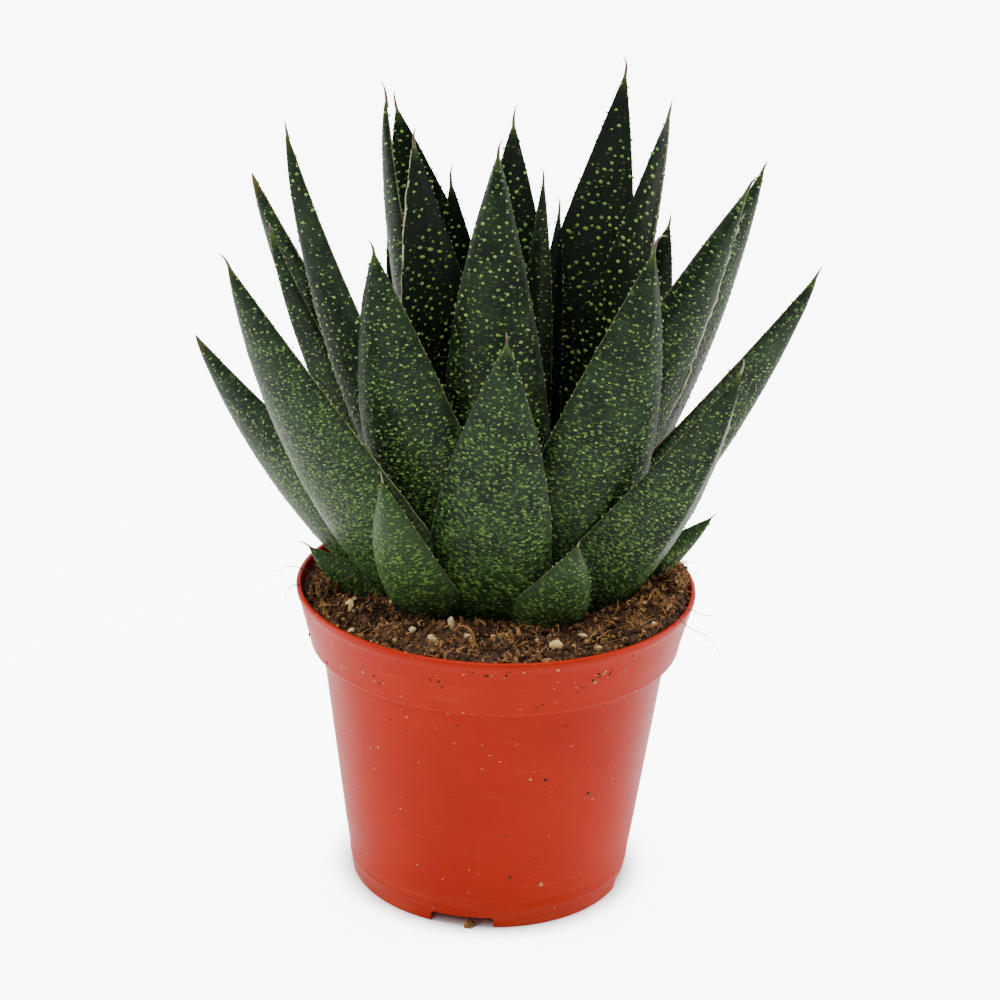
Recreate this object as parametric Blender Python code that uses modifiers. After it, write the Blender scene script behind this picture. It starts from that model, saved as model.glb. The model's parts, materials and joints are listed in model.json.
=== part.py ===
# Potted gasteria: an orange-red nursery pot, its potting mix and a rosette of fleshy leaves on a short stem.
# Lengths are in millimetres here and metres in the scene. +Z is up, and the origin is the middle of the pot's foot.
import math

import bmesh
import bpy
import numpy as np
from mathutils.bvhtree import BVHTree

MM = 0.001

# Pot
POT_HEIGHT = 95.0
RIM_RADIUS = 60.0
RIM_BAND = 18.5
RIM_LOW_RADIUS = 55.8
WALL_TOP_RADIUS = 52.1
FOOT_RADIUS = 42.2
WALL = 1.1
LIP = 1.6
FOOT_RING = 2.8
PLATE_UNDER = 3.8
PLATE_TOP = 5.2
POT_STEPS = 56
NOTCHES = 4
NOTCH_WIDTH = 19.0
NOTCH_HEIGHT = 3.6
NOTCH_TURN = -100.0
DRAIN_HOLES = 6
DRAIN_RADIUS = 4.0
DRAIN_CIRCLE = 27.0

# Potting mix
GAP = 0.35
WELD = 0.001
MIX_TOP = 92.8
MIX_TILT = 0.9
MIX_LUMP = 0.7
WELL_FLOOR = 79.0
WELL_INNER = 13.0
WELL_OUTER = 23.0

# Stem
STEM_FOOT = 62.0
STEM_TOP = 111.0
STEM_RADIUS = 9.5
STEM_LEAN = (4.0, 1.0)

# Leaves: every one is a loft along a bowed midrib, with a rounded back and a shallow hollow front
LEAF_RINGS = 8
LEAF_THICK = 8.0
LEAF_HOLLOW = 2.0
LEAF_FOOT_SHARE = 0.72
LEAF_WIDEST = 0.28
LEAF_TAPER = 1.8
LEAF_TAIL = 0.975
MARGIN_THICK = 1.1
BACK_STATIONS = (-1.0, -0.82, -0.45, 0.0, 0.45, 0.82, 1.0)
FRONT_STATIONS = (1.0, 0.5, 0.0, -0.5, -1.0)

# name, foot, tip, width, bow outwards, way the back faces in degrees, and what differs from the usual leaf
LEAVES = (
    ("heart_leaf_01", (5, 0, 108), (10, 0, 220), 14, 2, 250, {"thick": 5}),
    ("heart_leaf_02", (7, 2, 108), (15, 6, 210), 12, 2, 90, {"thick": 5}),
    ("inner_leaf_01", (-7, -3, 96), (-62, -12, 234), 29, 13, 222, {"taper": 1.5, "keel": 0.5, "keel_at": -0.35}),
    ("inner_leaf_02", (-4, 7, 102), (-36, 22, 236), 30, 9, 190, {}),
    ("inner_leaf_03", (-3, 11, 99), (-33, 40, 232), 38, 3, 100, {"sway": -4}),
    ("inner_leaf_04", (-1, 0, 104), (-27, -2, 230), 28, 6, 112, {}),
    ("inner_leaf_05", (0, 9, 103), (-17, 28, 211), 24, 4, 80, {}),
    ("inner_leaf_06", (3, -8, 98), (-3, -12, 230), 33, 6, 265, {}),
    ("inner_leaf_07", (3, 5, 104), (1, 12, 233), 32, 4, 80, {"sway": 2}),
    ("inner_leaf_08", (8, 6, 100), (33, 24, 246), 36, 4, 80, {"sway": 1, "taper": 1.55}),
    ("inner_leaf_09", (8, 0, 100), (45, 4, 239), 25, 5, 40, {}),
    ("middle_leaf_01", (-9, 6, 92), (-75, 22, 213), 30, 8, 215, {}),
    ("middle_leaf_02", (-10, 1, 89), (-68, 6, 200), 24, 10, 215, {"keel": 0.6, "keel_at": -0.2}),
    ("middle_leaf_03", (-4, -10, 90), (-37, -21, 203), 34, 9, 250, {"sway": -2}),
    ("middle_leaf_04", (10, -10, 88), (41, -26, 207), 36, 8, 285, {"keel": 0.5, "keel_at": 0.45}),
    ("middle_leaf_05", (11, -4, 94), (67, -10, 224), 32, 9, 298, {"keel": 0.7, "keel_at": 0.5}),
    ("middle_leaf_06", (11, 4, 92), (74, 18, 220), 36, 9, 318, {}),
    ("middle_leaf_07", (8, 8, 92), (49, 42, 196), 36, 12, 62, {}),
    ("middle_leaf_08", (0, 12, 94), (-8, 53, 188), 30, 7, 95, {}),
    ("outer_leaf_01", (-13, 2, 84), (-91, 12, 166), 31, 11, 220, {}),
    ("outer_leaf_02", (-13, -8, 85), (-77, -28, 200), 36, 9, 232, {}),
    ("outer_leaf_03", (-4, -15, 84), (1, -35, 182), 36, 8, 263, {"sway": -1, "keel": 0.3, "keel_at": 0.3}),
    ("outer_leaf_04", (14, -10, 84), (67, -26, 172), 33, 8, 300, {"keel": 0.8, "keel_at": 0.45}),
    ("outer_leaf_05", (14, 3, 85), (91, 12, 190), 36, 9, 320, {"keel": 0.5, "keel_at": 0.4}),
    ("outer_leaf_06", (13, 9, 84), (68, 46, 146), 26, 8, 35, {}),
    ("outer_leaf_07", (10, 12, 84), (44, 57, 160), 28, 8, 55, {}),
    ("outer_leaf_08", (5, 14, 86), (14, 58, 168), 29, 8, 80, {}),
    ("outer_leaf_09", (-4, 14, 85), (-22, 57, 170), 29, 8, 108, {}),
    ("outer_leaf_10", (-10, 12, 84), (-54, 52, 162), 28, 8, 135, {}),
    ("outer_leaf_11", (-14, 8, 84), (-66, 36, 140), 24, 8, 155, {}),
    ("basal_leaf_01", (-14, -11, 85), (-33, -34, 139), 26, 7, 240, {}),
    ("basal_leaf_02", (9, -14, 84), (23, -36, 122), 24, 6, 285, {}),
    ("basal_leaf_03", (-16, -2, 84), (-56, -4, 106), 20, 5, 230, {}),
    ("basal_leaf_04", (16, 4, 82), (64, 4, 116), 18, 5, 300, {}),
    ("basal_leaf_05", (-13, 13, 86), (-42, 46, 112), 19, 1, 130, {}),
    ("basal_leaf_06", (9, 15, 86), (33, 50, 113), 19, 1, 62, {}),
)

COLOURS = {
    "pot": ((0.54, 0.105, 0.035), 0.38),
    "potting_mix": ((0.075, 0.035, 0.018), 0.95),
    "stem": ((0.20, 0.22, 0.08), 0.6),
    "leaf": ((0.035, 0.085, 0.035), 0.42),
}


def clear_scene():
    for old in list(bpy.data.objects):
        bpy.data.objects.remove(old, do_unlink=True)


def new_collection(name, helpers=False):
    made = bpy.data.collections.new(name)
    bpy.context.scene.collection.children.link(made)
    made.hide_render = helpers
    return made


def plain_material(name, look):
    colour, roughness = COLOURS[look]
    made = bpy.data.materials.new(name)
    made.use_nodes = True
    shader = made.node_tree.nodes["Principled BSDF"]
    shader.inputs["Base Color"].default_value = (*colour, 1.0)
    shader.inputs["Roughness"].default_value = roughness
    return made


def outward(points, faces):
    corners = points[np.array([face[:3] for face in faces])]
    volume = np.einsum("ij,ij->i", corners[:, 0], np.cross(corners[:, 1], corners[:, 2])).sum()
    return faces if volume > 0 else [face[::-1] for face in faces]


def add_mesh(name, points, faces, collection, look=None):
    mesh = bpy.data.meshes.new(name)
    mesh.from_pydata((np.asarray(points) * MM).tolist(), [], faces)
    mesh.update()
    made = bpy.data.objects.new(name, mesh)
    collection.objects.link(made)
    if look:
        mesh.materials.append(plain_material(name, look))
    else:
        made.hide_render = True
        made.display_type = "WIRE"
    return made


def loft(rings, first, last):
    # rings: an array of closed rings, joined in order and closed by one point at each end
    count, around = rings.shape[:2]
    faces = []
    for ring in range(count - 1):
        for step in range(around):
            a, b = ring * around + step, ring * around + (step + 1) % around
            faces += [[a, b, b + around], [a, b + around, a + around]]
    points = np.vstack([rings.reshape(-1, 3), first, last])
    for step in range(around):
        after = (step + 1) % around
        faces.append([len(points) - 2, after, step])
        faces.append([len(points) - 1, (count - 1) * around + step, (count - 1) * around + after])
    return points, outward(points, faces)


def unit(vectors):
    return vectors / np.linalg.norm(vectors, axis=-1, keepdims=True)


def midrib(foot, tip, bow, sway, along):
    foot, tip = np.array(foot, float), np.array(tip, float)
    chord = unit(tip - foot)
    out = (tip - foot) * (1, 1, 0)
    out = unit(out - (out @ chord) * chord)
    control = (foot + tip) / 2 + bow * out + sway * np.cross(chord, out)
    t = along[:, None]
    points = (1 - t) ** 2 * foot + 2 * t * (1 - t) * control + t**2 * tip
    heading = unit(2 * (1 - t) * (control - foot) + 2 * t * (tip - control))
    return points, heading


def half_widths(width, taper, along):
    rising = LEAF_FOOT_SHARE + (1 - LEAF_FOOT_SHARE) * np.sin(math.pi / 2 * np.clip(along / LEAF_WIDEST, 0, 1))
    falling = 1 - np.clip((along - LEAF_WIDEST) / (1 - LEAF_WIDEST), 0, 1) ** taper
    return np.where(along < LEAF_WIDEST, rising, falling) * width / 2


def section(half_width, t, thick, keel, keel_at):
    # across and through the leaf: the back from one margin to the other, then the front on the way home
    back, front = np.array(BACK_STATIONS), np.array(FRONT_STATIONS)
    full = thick * (1 - t) ** 0.55 * (0.55 + 0.45 * min(1, t / 0.15))
    edge = MARGIN_THICK / 2 * (1 - 0.55 * t)
    round_back = (1 - np.abs(back) ** 2.2) ** 0.75
    tent = np.where(back < keel_at, (back + 1) / (1 + keel_at), (1 - back) / (1 - keel_at))
    share = keel * min(1, max(0, (t - 0.1) / 0.3))
    depth = full * ((1 - share) * round_back + share * 1.05 * tent)
    hollow = min(LEAF_HOLLOW * math.sin(math.pi * min(1, t * 1.05)) ** 0.7, 0.45 * full)
    across = np.concatenate([back, front]) * half_width
    through = np.concatenate([edge + depth, hollow * (1 - front**2) - edge])
    return np.stack([across, through], -1)


def grown(outline, by):
    # moves each corner of a flat outline out by a mitre, so that its sides move by the same distance
    forward = unit(np.roll(outline, -1, 0) - outline)
    normal = np.stack([-forward[:, 1], forward[:, 0]], -1)
    before = np.roll(normal, 1, 0)
    mitre = (normal + before) / np.maximum(0.35, 1 + (normal * before).sum(-1, keepdims=True))
    return outline + by * mitre


def leaf_solid(foot, tip, width, bow, faces, thick=LEAF_THICK, taper=LEAF_TAPER, sway=0, keel=0.0, keel_at=0.3, grow=0.0):
    along = np.linspace(0, LEAF_TAIL, LEAF_RINGS)
    points, heading = midrib(foot, tip, bow, sway, along)
    facing = np.array([math.cos(math.radians(faces)), math.sin(math.radians(faces)), 0])
    normal = unit(facing - (heading @ facing)[:, None] * heading)
    side = np.cross(heading, normal)
    widths = half_widths(width, taper, along)
    rings = []
    for index, t in enumerate(along):
        outline = section(widths[index], t, thick, keel, keel_at)
        if grow:
            outline = grown(outline, grow)
        rings.append(points[index] + outline[:, :1] * side[index] + outline[:, 1:] * normal[index])
    rings = np.array(rings)
    rings[0] -= heading[0] * grow
    last = np.array(tip, float) + heading[-1] * grow * 2
    return loft(rings, rings[0].mean(0), last)


def revolve_profile(name, profile, collection, look):
    # a Screw of a closed outline, which runs down its outer side and back up its inner side
    mesh = bpy.data.meshes.new(name)
    points = [(r * MM, 0, z * MM) for r, z in profile]
    count = len(points)
    mesh.from_pydata(points, [(i, (i + 1) % count) for i in range(count)], [])
    made = bpy.data.objects.new(name, mesh)
    collection.objects.link(made)
    turn = made.modifiers.new("turned", "SCREW")
    turn.axis = "Z"
    turn.steps = turn.render_steps = POT_STEPS
    turn.use_merge_vertices = True
    turn.merge_threshold = 0.00001
    turn.use_smooth_shade = False
    mesh.materials.append(plain_material(name, look))
    return made


def cut(target, cutter, operation="DIFFERENCE"):
    step = target.modifiers.new(cutter.name, "BOOLEAN")
    step.operation = operation
    step.solver = "EXACT"
    step.object = cutter


def box_points(centre, size, turn):
    cx, cy, cz = centre
    sx, sy, sz = (half / 2 for half in size)
    c, s = math.cos(turn), math.sin(turn)
    return [
        (cx + c * x * sx - s * y * sy, cy + s * x * sx + c * y * sy, cz + z * sz)
        for z in (-1, 1)
        for x, y in ((-1, -1), (1, -1), (1, 1), (-1, 1))
    ]


BOX_FACES = [[0, 3, 2, 1], [4, 5, 6, 7], [0, 1, 5, 4], [1, 2, 6, 5], [2, 3, 7, 6], [3, 0, 4, 7]]


def drum(radius, low, high, centre, steps=20):
    turns = np.linspace(0, 2 * math.pi, steps, endpoint=False)
    ring = np.stack([centre[0] + radius * np.cos(turns), centre[1] + radius * np.sin(turns)], -1)
    points = [(x, y, z) for z in (low, high) for x, y in ring]
    faces = [list(range(steps))[::-1], list(range(steps, 2 * steps))]
    faces += [[i, (i + 1) % steps, steps + (i + 1) % steps, steps + i] for i in range(steps)]
    return points, faces


def wall_inside(z):
    # the pot's inner radius at a height
    ledge = POT_HEIGHT - RIM_BAND
    if z <= ledge + 1:
        share = (z - PLATE_TOP) / (ledge + 1 - PLATE_TOP)
        return FOOT_RADIUS - WALL + 0.4 + share * (WALL_TOP_RADIUS - FOOT_RADIUS - 0.3)
    share = (z - ledge - 1.6) / (POT_HEIGHT - 1 - ledge - 1.6)
    return RIM_LOW_RADIUS - 1.6 + max(0, share) * (RIM_RADIUS - LIP - RIM_LOW_RADIUS + 1.6)


def make_pot(collection, helpers):
    ledge = POT_HEIGHT - RIM_BAND
    outer = [
        (RIM_RADIUS - 0.8, POT_HEIGHT),
        (RIM_RADIUS - 0.2, POT_HEIGHT - 0.25),
        (RIM_RADIUS, POT_HEIGHT - 0.8),
        (RIM_LOW_RADIUS + 0.3, ledge + 1.6),
        (RIM_LOW_RADIUS - 0.1, ledge + 0.7),
        (RIM_LOW_RADIUS - 0.9, ledge + 0.2),
        (WALL_TOP_RADIUS + 0.7, ledge),
        (WALL_TOP_RADIUS, ledge - 0.8),
        (FOOT_RADIUS + 0.8, 6.4),
        (FOOT_RADIUS + 0.95, 5.9),
        (FOOT_RADIUS + 0.7, 5.4),
        (FOOT_RADIUS, 0.5),
        (FOOT_RADIUS - 0.5, 0),
    ]
    under = [
        (FOOT_RADIUS - FOOT_RING, 0),
        (FOOT_RADIUS - FOOT_RING - 0.4, PLATE_UNDER),
        (0, PLATE_UNDER),
    ]
    inner = [
        (0, PLATE_TOP),
        (wall_inside(PLATE_TOP) - 0.8, PLATE_TOP),
        (wall_inside(PLATE_TOP + 0.8), PLATE_TOP + 0.8),
        (wall_inside(ledge + 0.9), ledge + 0.9),
        (wall_inside(ledge + 0.9) + 0.4, ledge + 1.3),
        (wall_inside(ledge + 1.6), ledge + 1.6),
        (wall_inside(POT_HEIGHT - 1), POT_HEIGHT - 1),
        (RIM_RADIUS - LIP + 0.3, POT_HEIGHT - 0.2),
    ]
    pot = revolve_profile("pot", outer + under + inner, collection, "pot")
    for index in range(NOTCHES):
        turn = math.radians(NOTCH_TURN + 360 / NOTCHES * index)
        reach = FOOT_RADIUS - 1
        centre = (reach * math.cos(turn), reach * math.sin(turn), NOTCH_HEIGHT / 2 - 1)
        points = box_points(centre, (12, NOTCH_WIDTH, NOTCH_HEIGHT + 2), turn)
        cut(pot, add_mesh(f"notch_{index + 1}", points, BOX_FACES, helpers))
    for index in range(DRAIN_HOLES):
        turn = 2 * math.pi * (index + 0.5) / DRAIN_HOLES
        centre = (DRAIN_CIRCLE * math.cos(turn), DRAIN_CIRCLE * math.sin(turn))
        points, faces = drum(DRAIN_RADIUS, PLATE_UNDER - 2, PLATE_TOP + 2, centre)
        cut(pot, add_mesh(f"drain_{index + 1}", points, faces, helpers))
    return pot


def mix_height(x, y):
    # lumpy ground, higher on the right, with a well round the crown
    radius = math.hypot(x, y)
    lumps = math.sin(x * 0.31 + 1.3) * math.cos(y * 0.27 - 0.4) + 0.6 * math.sin(x * 0.53 - y * 0.47)
    ground = MIX_TOP + MIX_TILT * x / RIM_RADIUS + MIX_LUMP * lumps * min(1, (RIM_RADIUS - radius) / 4)
    well = min(1, max(0, (radius - WELL_INNER) / (WELL_OUTER - WELL_INNER)))
    return WELL_FLOOR + (ground - WELL_FLOOR) * well**0.7


def make_mix(collection):
    ledge = POT_HEIGHT - RIM_BAND
    low, high = PLATE_TOP + 1.2, MIX_TOP - MIX_TILT - 1.2
    narrow = wall_inside(ledge + 0.9) - 0.4
    side = [
        (wall_inside(PLATE_TOP) - 1.2, PLATE_TOP + GAP),
        (wall_inside(low) - 0.4, low),
        (narrow, ledge + 1.0),
        (narrow + 0.25, ledge + 1.6),
        (narrow + 0.7, ledge + 1.95),
        (wall_inside(ledge + 2.1) - 0.4, ledge + 2.1),
        (wall_inside(high) - 0.4, high),
    ]
    turns = np.linspace(0, 2 * math.pi, POT_STEPS, endpoint=False)
    rings = [[(r * math.cos(a), r * math.sin(a), z) for a in turns] for r, z in side]
    for radius in (57.2, 51.0, 44.0, 36.0, 29.0, WELL_OUTER, 18.0, WELL_INNER):
        ring = []
        for a in turns:
            x, y = radius * math.cos(a), radius * math.sin(a)
            ring.append((x, y, mix_height(x, y)))
        rings.append(ring)
    points, faces = loft(np.array(rings), (0, 0, PLATE_TOP + GAP), (0, 0, WELL_FLOOR))
    return add_mesh("potting_mix", points, faces, collection, "potting_mix")


def stem_solid(grow=0.0):
    rings = []
    for share, width in ((0, 0.25), (0.12, 0.6), (0.3, 0.9), (0.45, 1), (0.65, 0.95), (0.8, 0.72), (0.92, 0.42), (0.99, 0.16)):
        z = STEM_FOOT + share * (STEM_TOP - STEM_FOOT)
        radius = width * STEM_RADIUS + grow
        x, y = (lean * share**1.5 + 1.0 for lean in STEM_LEAN)
        rings.append([(x + radius * math.cos(a), y + radius * math.sin(a), z) for a in np.linspace(0, 2 * math.pi, 16, endpoint=False)])
    rings = np.array(rings)
    first, last = rings[0].mean(0), rings[-1].mean(0)
    return loft(rings, first - (0, 0, 0.5 + grow), last + (0, 0, 0.6 + grow))


def surface_tree(mesh):
    return BVHTree.FromPolygons([v.co for v in mesh.vertices], [list(p.vertices) for p in mesh.polygons])


def islands_of(work):
    left, islands = set(work.faces), []
    while left:
        found, queue = [], [left.pop()]
        while queue:
            face = queue.pop()
            found.append(face)
            for edge in face.edges:
                for other in edge.link_faces:
                    if other in left:
                        left.discard(other)
                        queue.append(other)
        islands.append(found)
    return islands


def volume_of(faces):
    total = 0
    for face in faces:
        corners = [vert.co for vert in face.verts]
        for second, third in zip(corners[1:], corners[2:]):
            total += corners[0].dot(second.cross(third)) / 6
    return total


def tidy(mesh, largest_only=False):
    # merges what a cut leaves double, and can leave out the crumbs and sealed pockets that it parts off
    work = bmesh.new()
    work.from_mesh(mesh)
    bmesh.ops.remove_doubles(work, verts=work.verts, dist=WELD * MM)
    bmesh.ops.dissolve_degenerate(work, edges=work.edges, dist=WELD * MM)
    if largest_only:
        islands = sorted(islands_of(work), key=volume_of)
        dropped = [face for island in islands[:-1] for face in island]
        bmesh.ops.delete(work, geom=dropped, context="FACES")
    bmesh.ops.triangulate(work, faces=work.faces)
    work.to_mesh(mesh)
    work.free()


def work_in(target, tool, operation):
    # applies one Boolean at once
    cut(target, tool, operation)
    graph = bpy.context.evaluated_depsgraph_get()
    shape = bpy.data.meshes.new_from_object(target.evaluated_get(graph))
    target.modifiers.clear()
    tidy(shape)
    shape.name = target.name
    target.data = shape


def make_plant(collection, helpers):
    # the stem and its leaves grew as one, so they are one solid
    points, faces = stem_solid()
    plant = add_mesh("gasteria", points, faces, collection, "leaf")
    for name, foot, tip, width, bow, faces_to, more in LEAVES:
        points, faces = leaf_solid(foot, tip, width, bow, faces_to, **more)
        work_in(plant, add_mesh(name, points, faces, helpers), "UNION")
    tidy(plant.data, largest_only=True)
    return plant


def plant_room(helpers):
    # the stem and leaves again, each grown by the gap, to make room for them in the mix
    points, faces = stem_solid(GAP * 2)
    rooms = [add_mesh("stem_room", points, faces, helpers)]
    for name, foot, tip, width, bow, faces_to, more in LEAVES:
        points, faces = leaf_solid(foot, tip, width, bow, faces_to, grow=GAP, **more)
        rooms.append(add_mesh(name + "_room", points, faces, helpers))
    return rooms


def main():
    clear_scene()
    collection = new_collection("potted_gasteria")
    helpers = new_collection("cutters", helpers=True)
    make_pot(collection, helpers)
    make_plant(collection, helpers)
    mix = make_mix(collection)
    for room in plant_room(helpers):
        if surface_tree(mix.data).overlap(surface_tree(room.data)):
            work_in(mix, room, "DIFFERENCE")
    tidy(mix.data, largest_only=True)


main()
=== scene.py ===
import json
import math
import random

import bmesh
import bpy
import numpy as np
from mathutils import Matrix, Vector, noise

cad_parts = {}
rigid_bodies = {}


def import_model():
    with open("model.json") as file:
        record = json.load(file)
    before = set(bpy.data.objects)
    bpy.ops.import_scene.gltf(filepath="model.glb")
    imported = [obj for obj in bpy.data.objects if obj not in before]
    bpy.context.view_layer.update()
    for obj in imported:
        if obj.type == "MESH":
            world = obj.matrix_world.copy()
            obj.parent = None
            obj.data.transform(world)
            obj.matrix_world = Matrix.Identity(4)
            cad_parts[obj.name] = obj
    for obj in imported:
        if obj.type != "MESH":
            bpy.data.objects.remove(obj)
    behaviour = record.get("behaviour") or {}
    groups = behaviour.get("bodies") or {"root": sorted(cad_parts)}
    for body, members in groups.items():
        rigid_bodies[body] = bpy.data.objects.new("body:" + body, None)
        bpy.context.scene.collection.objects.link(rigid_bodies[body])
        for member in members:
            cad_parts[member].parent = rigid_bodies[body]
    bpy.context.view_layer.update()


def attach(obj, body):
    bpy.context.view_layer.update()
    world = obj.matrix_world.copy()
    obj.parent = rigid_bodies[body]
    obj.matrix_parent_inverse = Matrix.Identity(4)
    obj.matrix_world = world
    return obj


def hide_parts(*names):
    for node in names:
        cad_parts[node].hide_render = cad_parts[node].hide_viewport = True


# Potted gasteria: fleshy leaves with raised pale dots, rough potting mix and an orange-red nursery pot
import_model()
mm = 0.001
scene = bpy.context.scene


def newCollection(name):
    made = bpy.data.collections.new(name)
    scene.collection.children.link(made)
    return made


helperBits = newCollection("helpers")


def addObject(name, mesh, collection=None):
    made = bpy.data.objects.new(name, mesh)
    (collection or scene.collection).objects.link(made)
    return made


def discard(obj):
    bpy.data.objects.remove(obj, do_unlink=True)


def finished(obj, name):
    # the evaluated shape as a plain mesh of its own
    graph = bpy.context.evaluated_depsgraph_get()
    mesh = bpy.data.meshes.new_from_object(obj.evaluated_get(graph))
    mesh.name = name
    return mesh


def meshFrom(work, name, material=None):
    # a worked shape turned into a mesh
    mesh = bpy.data.meshes.new(name)
    work.to_mesh(mesh)
    work.free()
    if material:
        mesh.materials.append(material)
    return mesh


def meshOf(name, points, faces, material=None, edges=()):
    mesh = bpy.data.meshes.new(name)
    mesh.from_pydata(points, edges, faces)
    if material:
        mesh.materials.append(material)
    return mesh


def softShade(mesh, sharpAbove=None):
    mesh.polygons.foreach_set("use_smooth", [True] * len(mesh.polygons))
    if sharpAbove:
        mesh.set_sharp_from_angle(angle=math.radians(sharpAbove))


def markMesh(mesh, name, values, domain="POINT"):
    mesh.attributes.new(name, "FLOAT", domain).data.foreach_set("value", values)


def markOf(mesh, name):
    values = np.empty(len(mesh.vertices), np.float32)
    mesh.attributes[name].data.foreach_get("value", values)
    return values


def openSocket(sockets, name):
    return next(s for s in sockets if s.name == name and s.enabled)


def link(tree, value, target):
    # a socket, Field or Arrow is linked, and anything else is set
    value = getattr(value, "socket", value)
    if isinstance(value, bpy.types.NodeSocket):
        tree.links.new(value, target)
    else:
        target.default_value = value


def put(tree, kind, values=None, **settings):
    # a node with its settings, and its inputs set or linked by name or number
    node = tree.nodes.new(kind)
    for key, value in settings.items():
        setattr(node, key, value)
    for key, value in (values or {}).items():
        target = node.inputs[key] if isinstance(key, int) else openSocket(node.inputs, key)
        link(tree, value, target)
    return node


def grow(tree, kind, values=None, **settings):
    # what a geometry node gives first
    return put(tree, "GeometryNode" + kind, values, **settings).outputs[0]


def blendColour(tree, factor, first, second):
    inputs = {0: factor, 6: first, 7: second}
    return put(tree, "ShaderNodeMix", inputs, data_type="RGBA", clamp_factor=True).outputs[2]


class Field:
    # a number in a node tree: sums written with it become Math nodes
    def __init__(self, tree, socket):
        self.tree, self.socket = tree, socket

    def sum(self, operation, *values):
        inputs = dict(enumerate(values))
        return Field(self.tree, put(self.tree, "ShaderNodeMath", inputs, operation=operation).outputs[0])

    def __neg__(self):
        return self * -1.0

    def clamped(self):
        return self.atLeast(0.0).atMost(1.0)

    def ramp(self, low, high, toLow=0.0, toHigh=1.0, kind="SMOOTHSTEP"):
        inputs = {"Value": self, "From Min": low, "From Max": high, "To Min": toLow, "To Max": toHigh}
        made = put(self.tree, "ShaderNodeMapRange", inputs, interpolation_type=kind)
        return Field(self.tree, made.outputs["Result"])

    def evenRamp(self, *limits):
        return self.ramp(*limits, kind="LINEAR")


fieldSums = {
    "__add__": "ADD", "__radd__": "ADD", "__sub__": "SUBTRACT", "__truediv__": "DIVIDE", "size": "ABSOLUTE",
    "__mul__": "MULTIPLY", "__rmul__": "MULTIPLY", "__pow__": "POWER", "sine": "SINE", "cosine": "COSINE",
    "atMost": "MINIMUM", "atLeast": "MAXIMUM", "under": "LESS_THAN", "over": "GREATER_THAN",
}
for method, kind in fieldSums.items():
    setattr(Field, method, lambda self, *others, kind=kind: self.sum(kind, self, *others))
for method, kind in {"__rsub__": "SUBTRACT", "__rtruediv__": "DIVIDE"}.items():
    setattr(Field, method, lambda self, other, kind=kind: self.sum(kind, other, self))


class Arrow:
    # a vector in a node tree, in the same way, with the patterns that are read at it
    def __init__(self, tree, socket):
        self.tree, self.socket = tree, socket

    def sum(self, operation, *values, output=0):
        inputs = dict(enumerate((self, *values)))
        return put(self.tree, "ShaderNodeVectorMath", inputs, operation=operation).outputs[output]

    def __add__(self, other):
        return Arrow(self.tree, self.sum("ADD", other))

    def __sub__(self, other):
        return Arrow(self.tree, self.sum("SUBTRACT", other))

    def __mul__(self, by):
        made = put(self.tree, "ShaderNodeVectorMath", {0: self, "Scale": by}, operation="SCALE")
        return Arrow(self.tree, made.outputs[0])

    def cross(self, other):
        return Arrow(self.tree, self.sum("CROSS_PRODUCT", other))

    def unit(self):
        return Arrow(self.tree, self.sum("NORMALIZE"))

    def dot(self, other):
        return Field(self.tree, self.sum("DOT_PRODUCT", other, output="Value"))

    def distance(self, other):
        return Field(self.tree, self.sum("DISTANCE", other, output="Value"))

    def parts(self):
        split = put(self.tree, "ShaderNodeSeparateXYZ", {0: self}).outputs
        return [Field(self.tree, part) for part in split]

    def noise(self, scale, detail=2.0, **more):
        inputs = {"Vector": self, "Scale": scale, "Detail": detail, **more}
        return Field(self.tree, put(self.tree, "ShaderNodeTexNoise", inputs).outputs["Fac"])

    def stirred(self, scale, detail, reach):
        # the same spot moved about a little
        inputs = {"Vector": self, "Scale": scale, "Detail": detail}
        swirl = put(self.tree, "ShaderNodeTexNoise", inputs).outputs["Color"]
        return self + Arrow(self.tree, swirl) * reach

    def mapped(self, **values):
        return Arrow(self.tree, put(self.tree, "ShaderNodeMapping", {"Vector": self, **values}).outputs[0])

    def cells(self, scale, randomness=1.0):
        # the distance from the middle of a cell, and three random numbers of its own
        inputs = {"Vector": self, "Scale": scale, "Randomness": randomness}
        found = put(self.tree, "ShaderNodeTexVoronoi", inputs).outputs
        luck = put(self.tree, "ShaderNodeSeparateColor", {"Color": found["Color"]}).outputs
        return Field(self.tree, found["Distance"]), [Field(self.tree, part) for part in luck]

    def shared(self, group, output, **values):
        # what a shared group gives at this spot
        node = put(self.tree, "ShaderNodeGroup", node_tree=group)
        for key, value in {"Vector": self, **values}.items():
            link(self.tree, value, node.inputs[key])
        return Field(self.tree, node.outputs[output])

    def relief(self, size, depth):
        return self.shared(reliefGroup, "Height", Size=size, Depth=depth)

    def specks(self, pitch, size, share):
        return self.shared(specksGroup, "Mask", Pitch=pitch, Size=size, Share=share)

    def mottle(self, size, grain, dark, light):
        tone = self.shared(mottleGroup, "Color", Size=size, Grain=grain, Dark=dark, Light=light)
        return tone, Field(self.tree, tone.socket.node.outputs["Mask"])


def vectorOf(tree, x=0.0, y=0.0, z=0.0):
    return Arrow(tree, put(tree, "ShaderNodeCombineXYZ", {"X": x, "Y": y, "Z": z}).outputs[0])


def readAttribute(tree, name):
    return Field(tree, put(tree, "ShaderNodeAttribute", attribute_name=name).outputs["Fac"])


def objectSpot(tree):
    return Arrow(tree, put(tree, "ShaderNodeTexCoord").outputs["Object"])


def newMaterial(name, roughness, specular, **more):
    material = bpy.data.materials.new(name)
    material.use_nodes = True
    shader = material.node_tree.nodes["Principled BSDF"]
    for key, value in {"Roughness": roughness, "Specular IOR Level": specular, **more}.items():
        shader.inputs[key].default_value = value
    return material, material.node_tree, shader


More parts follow.
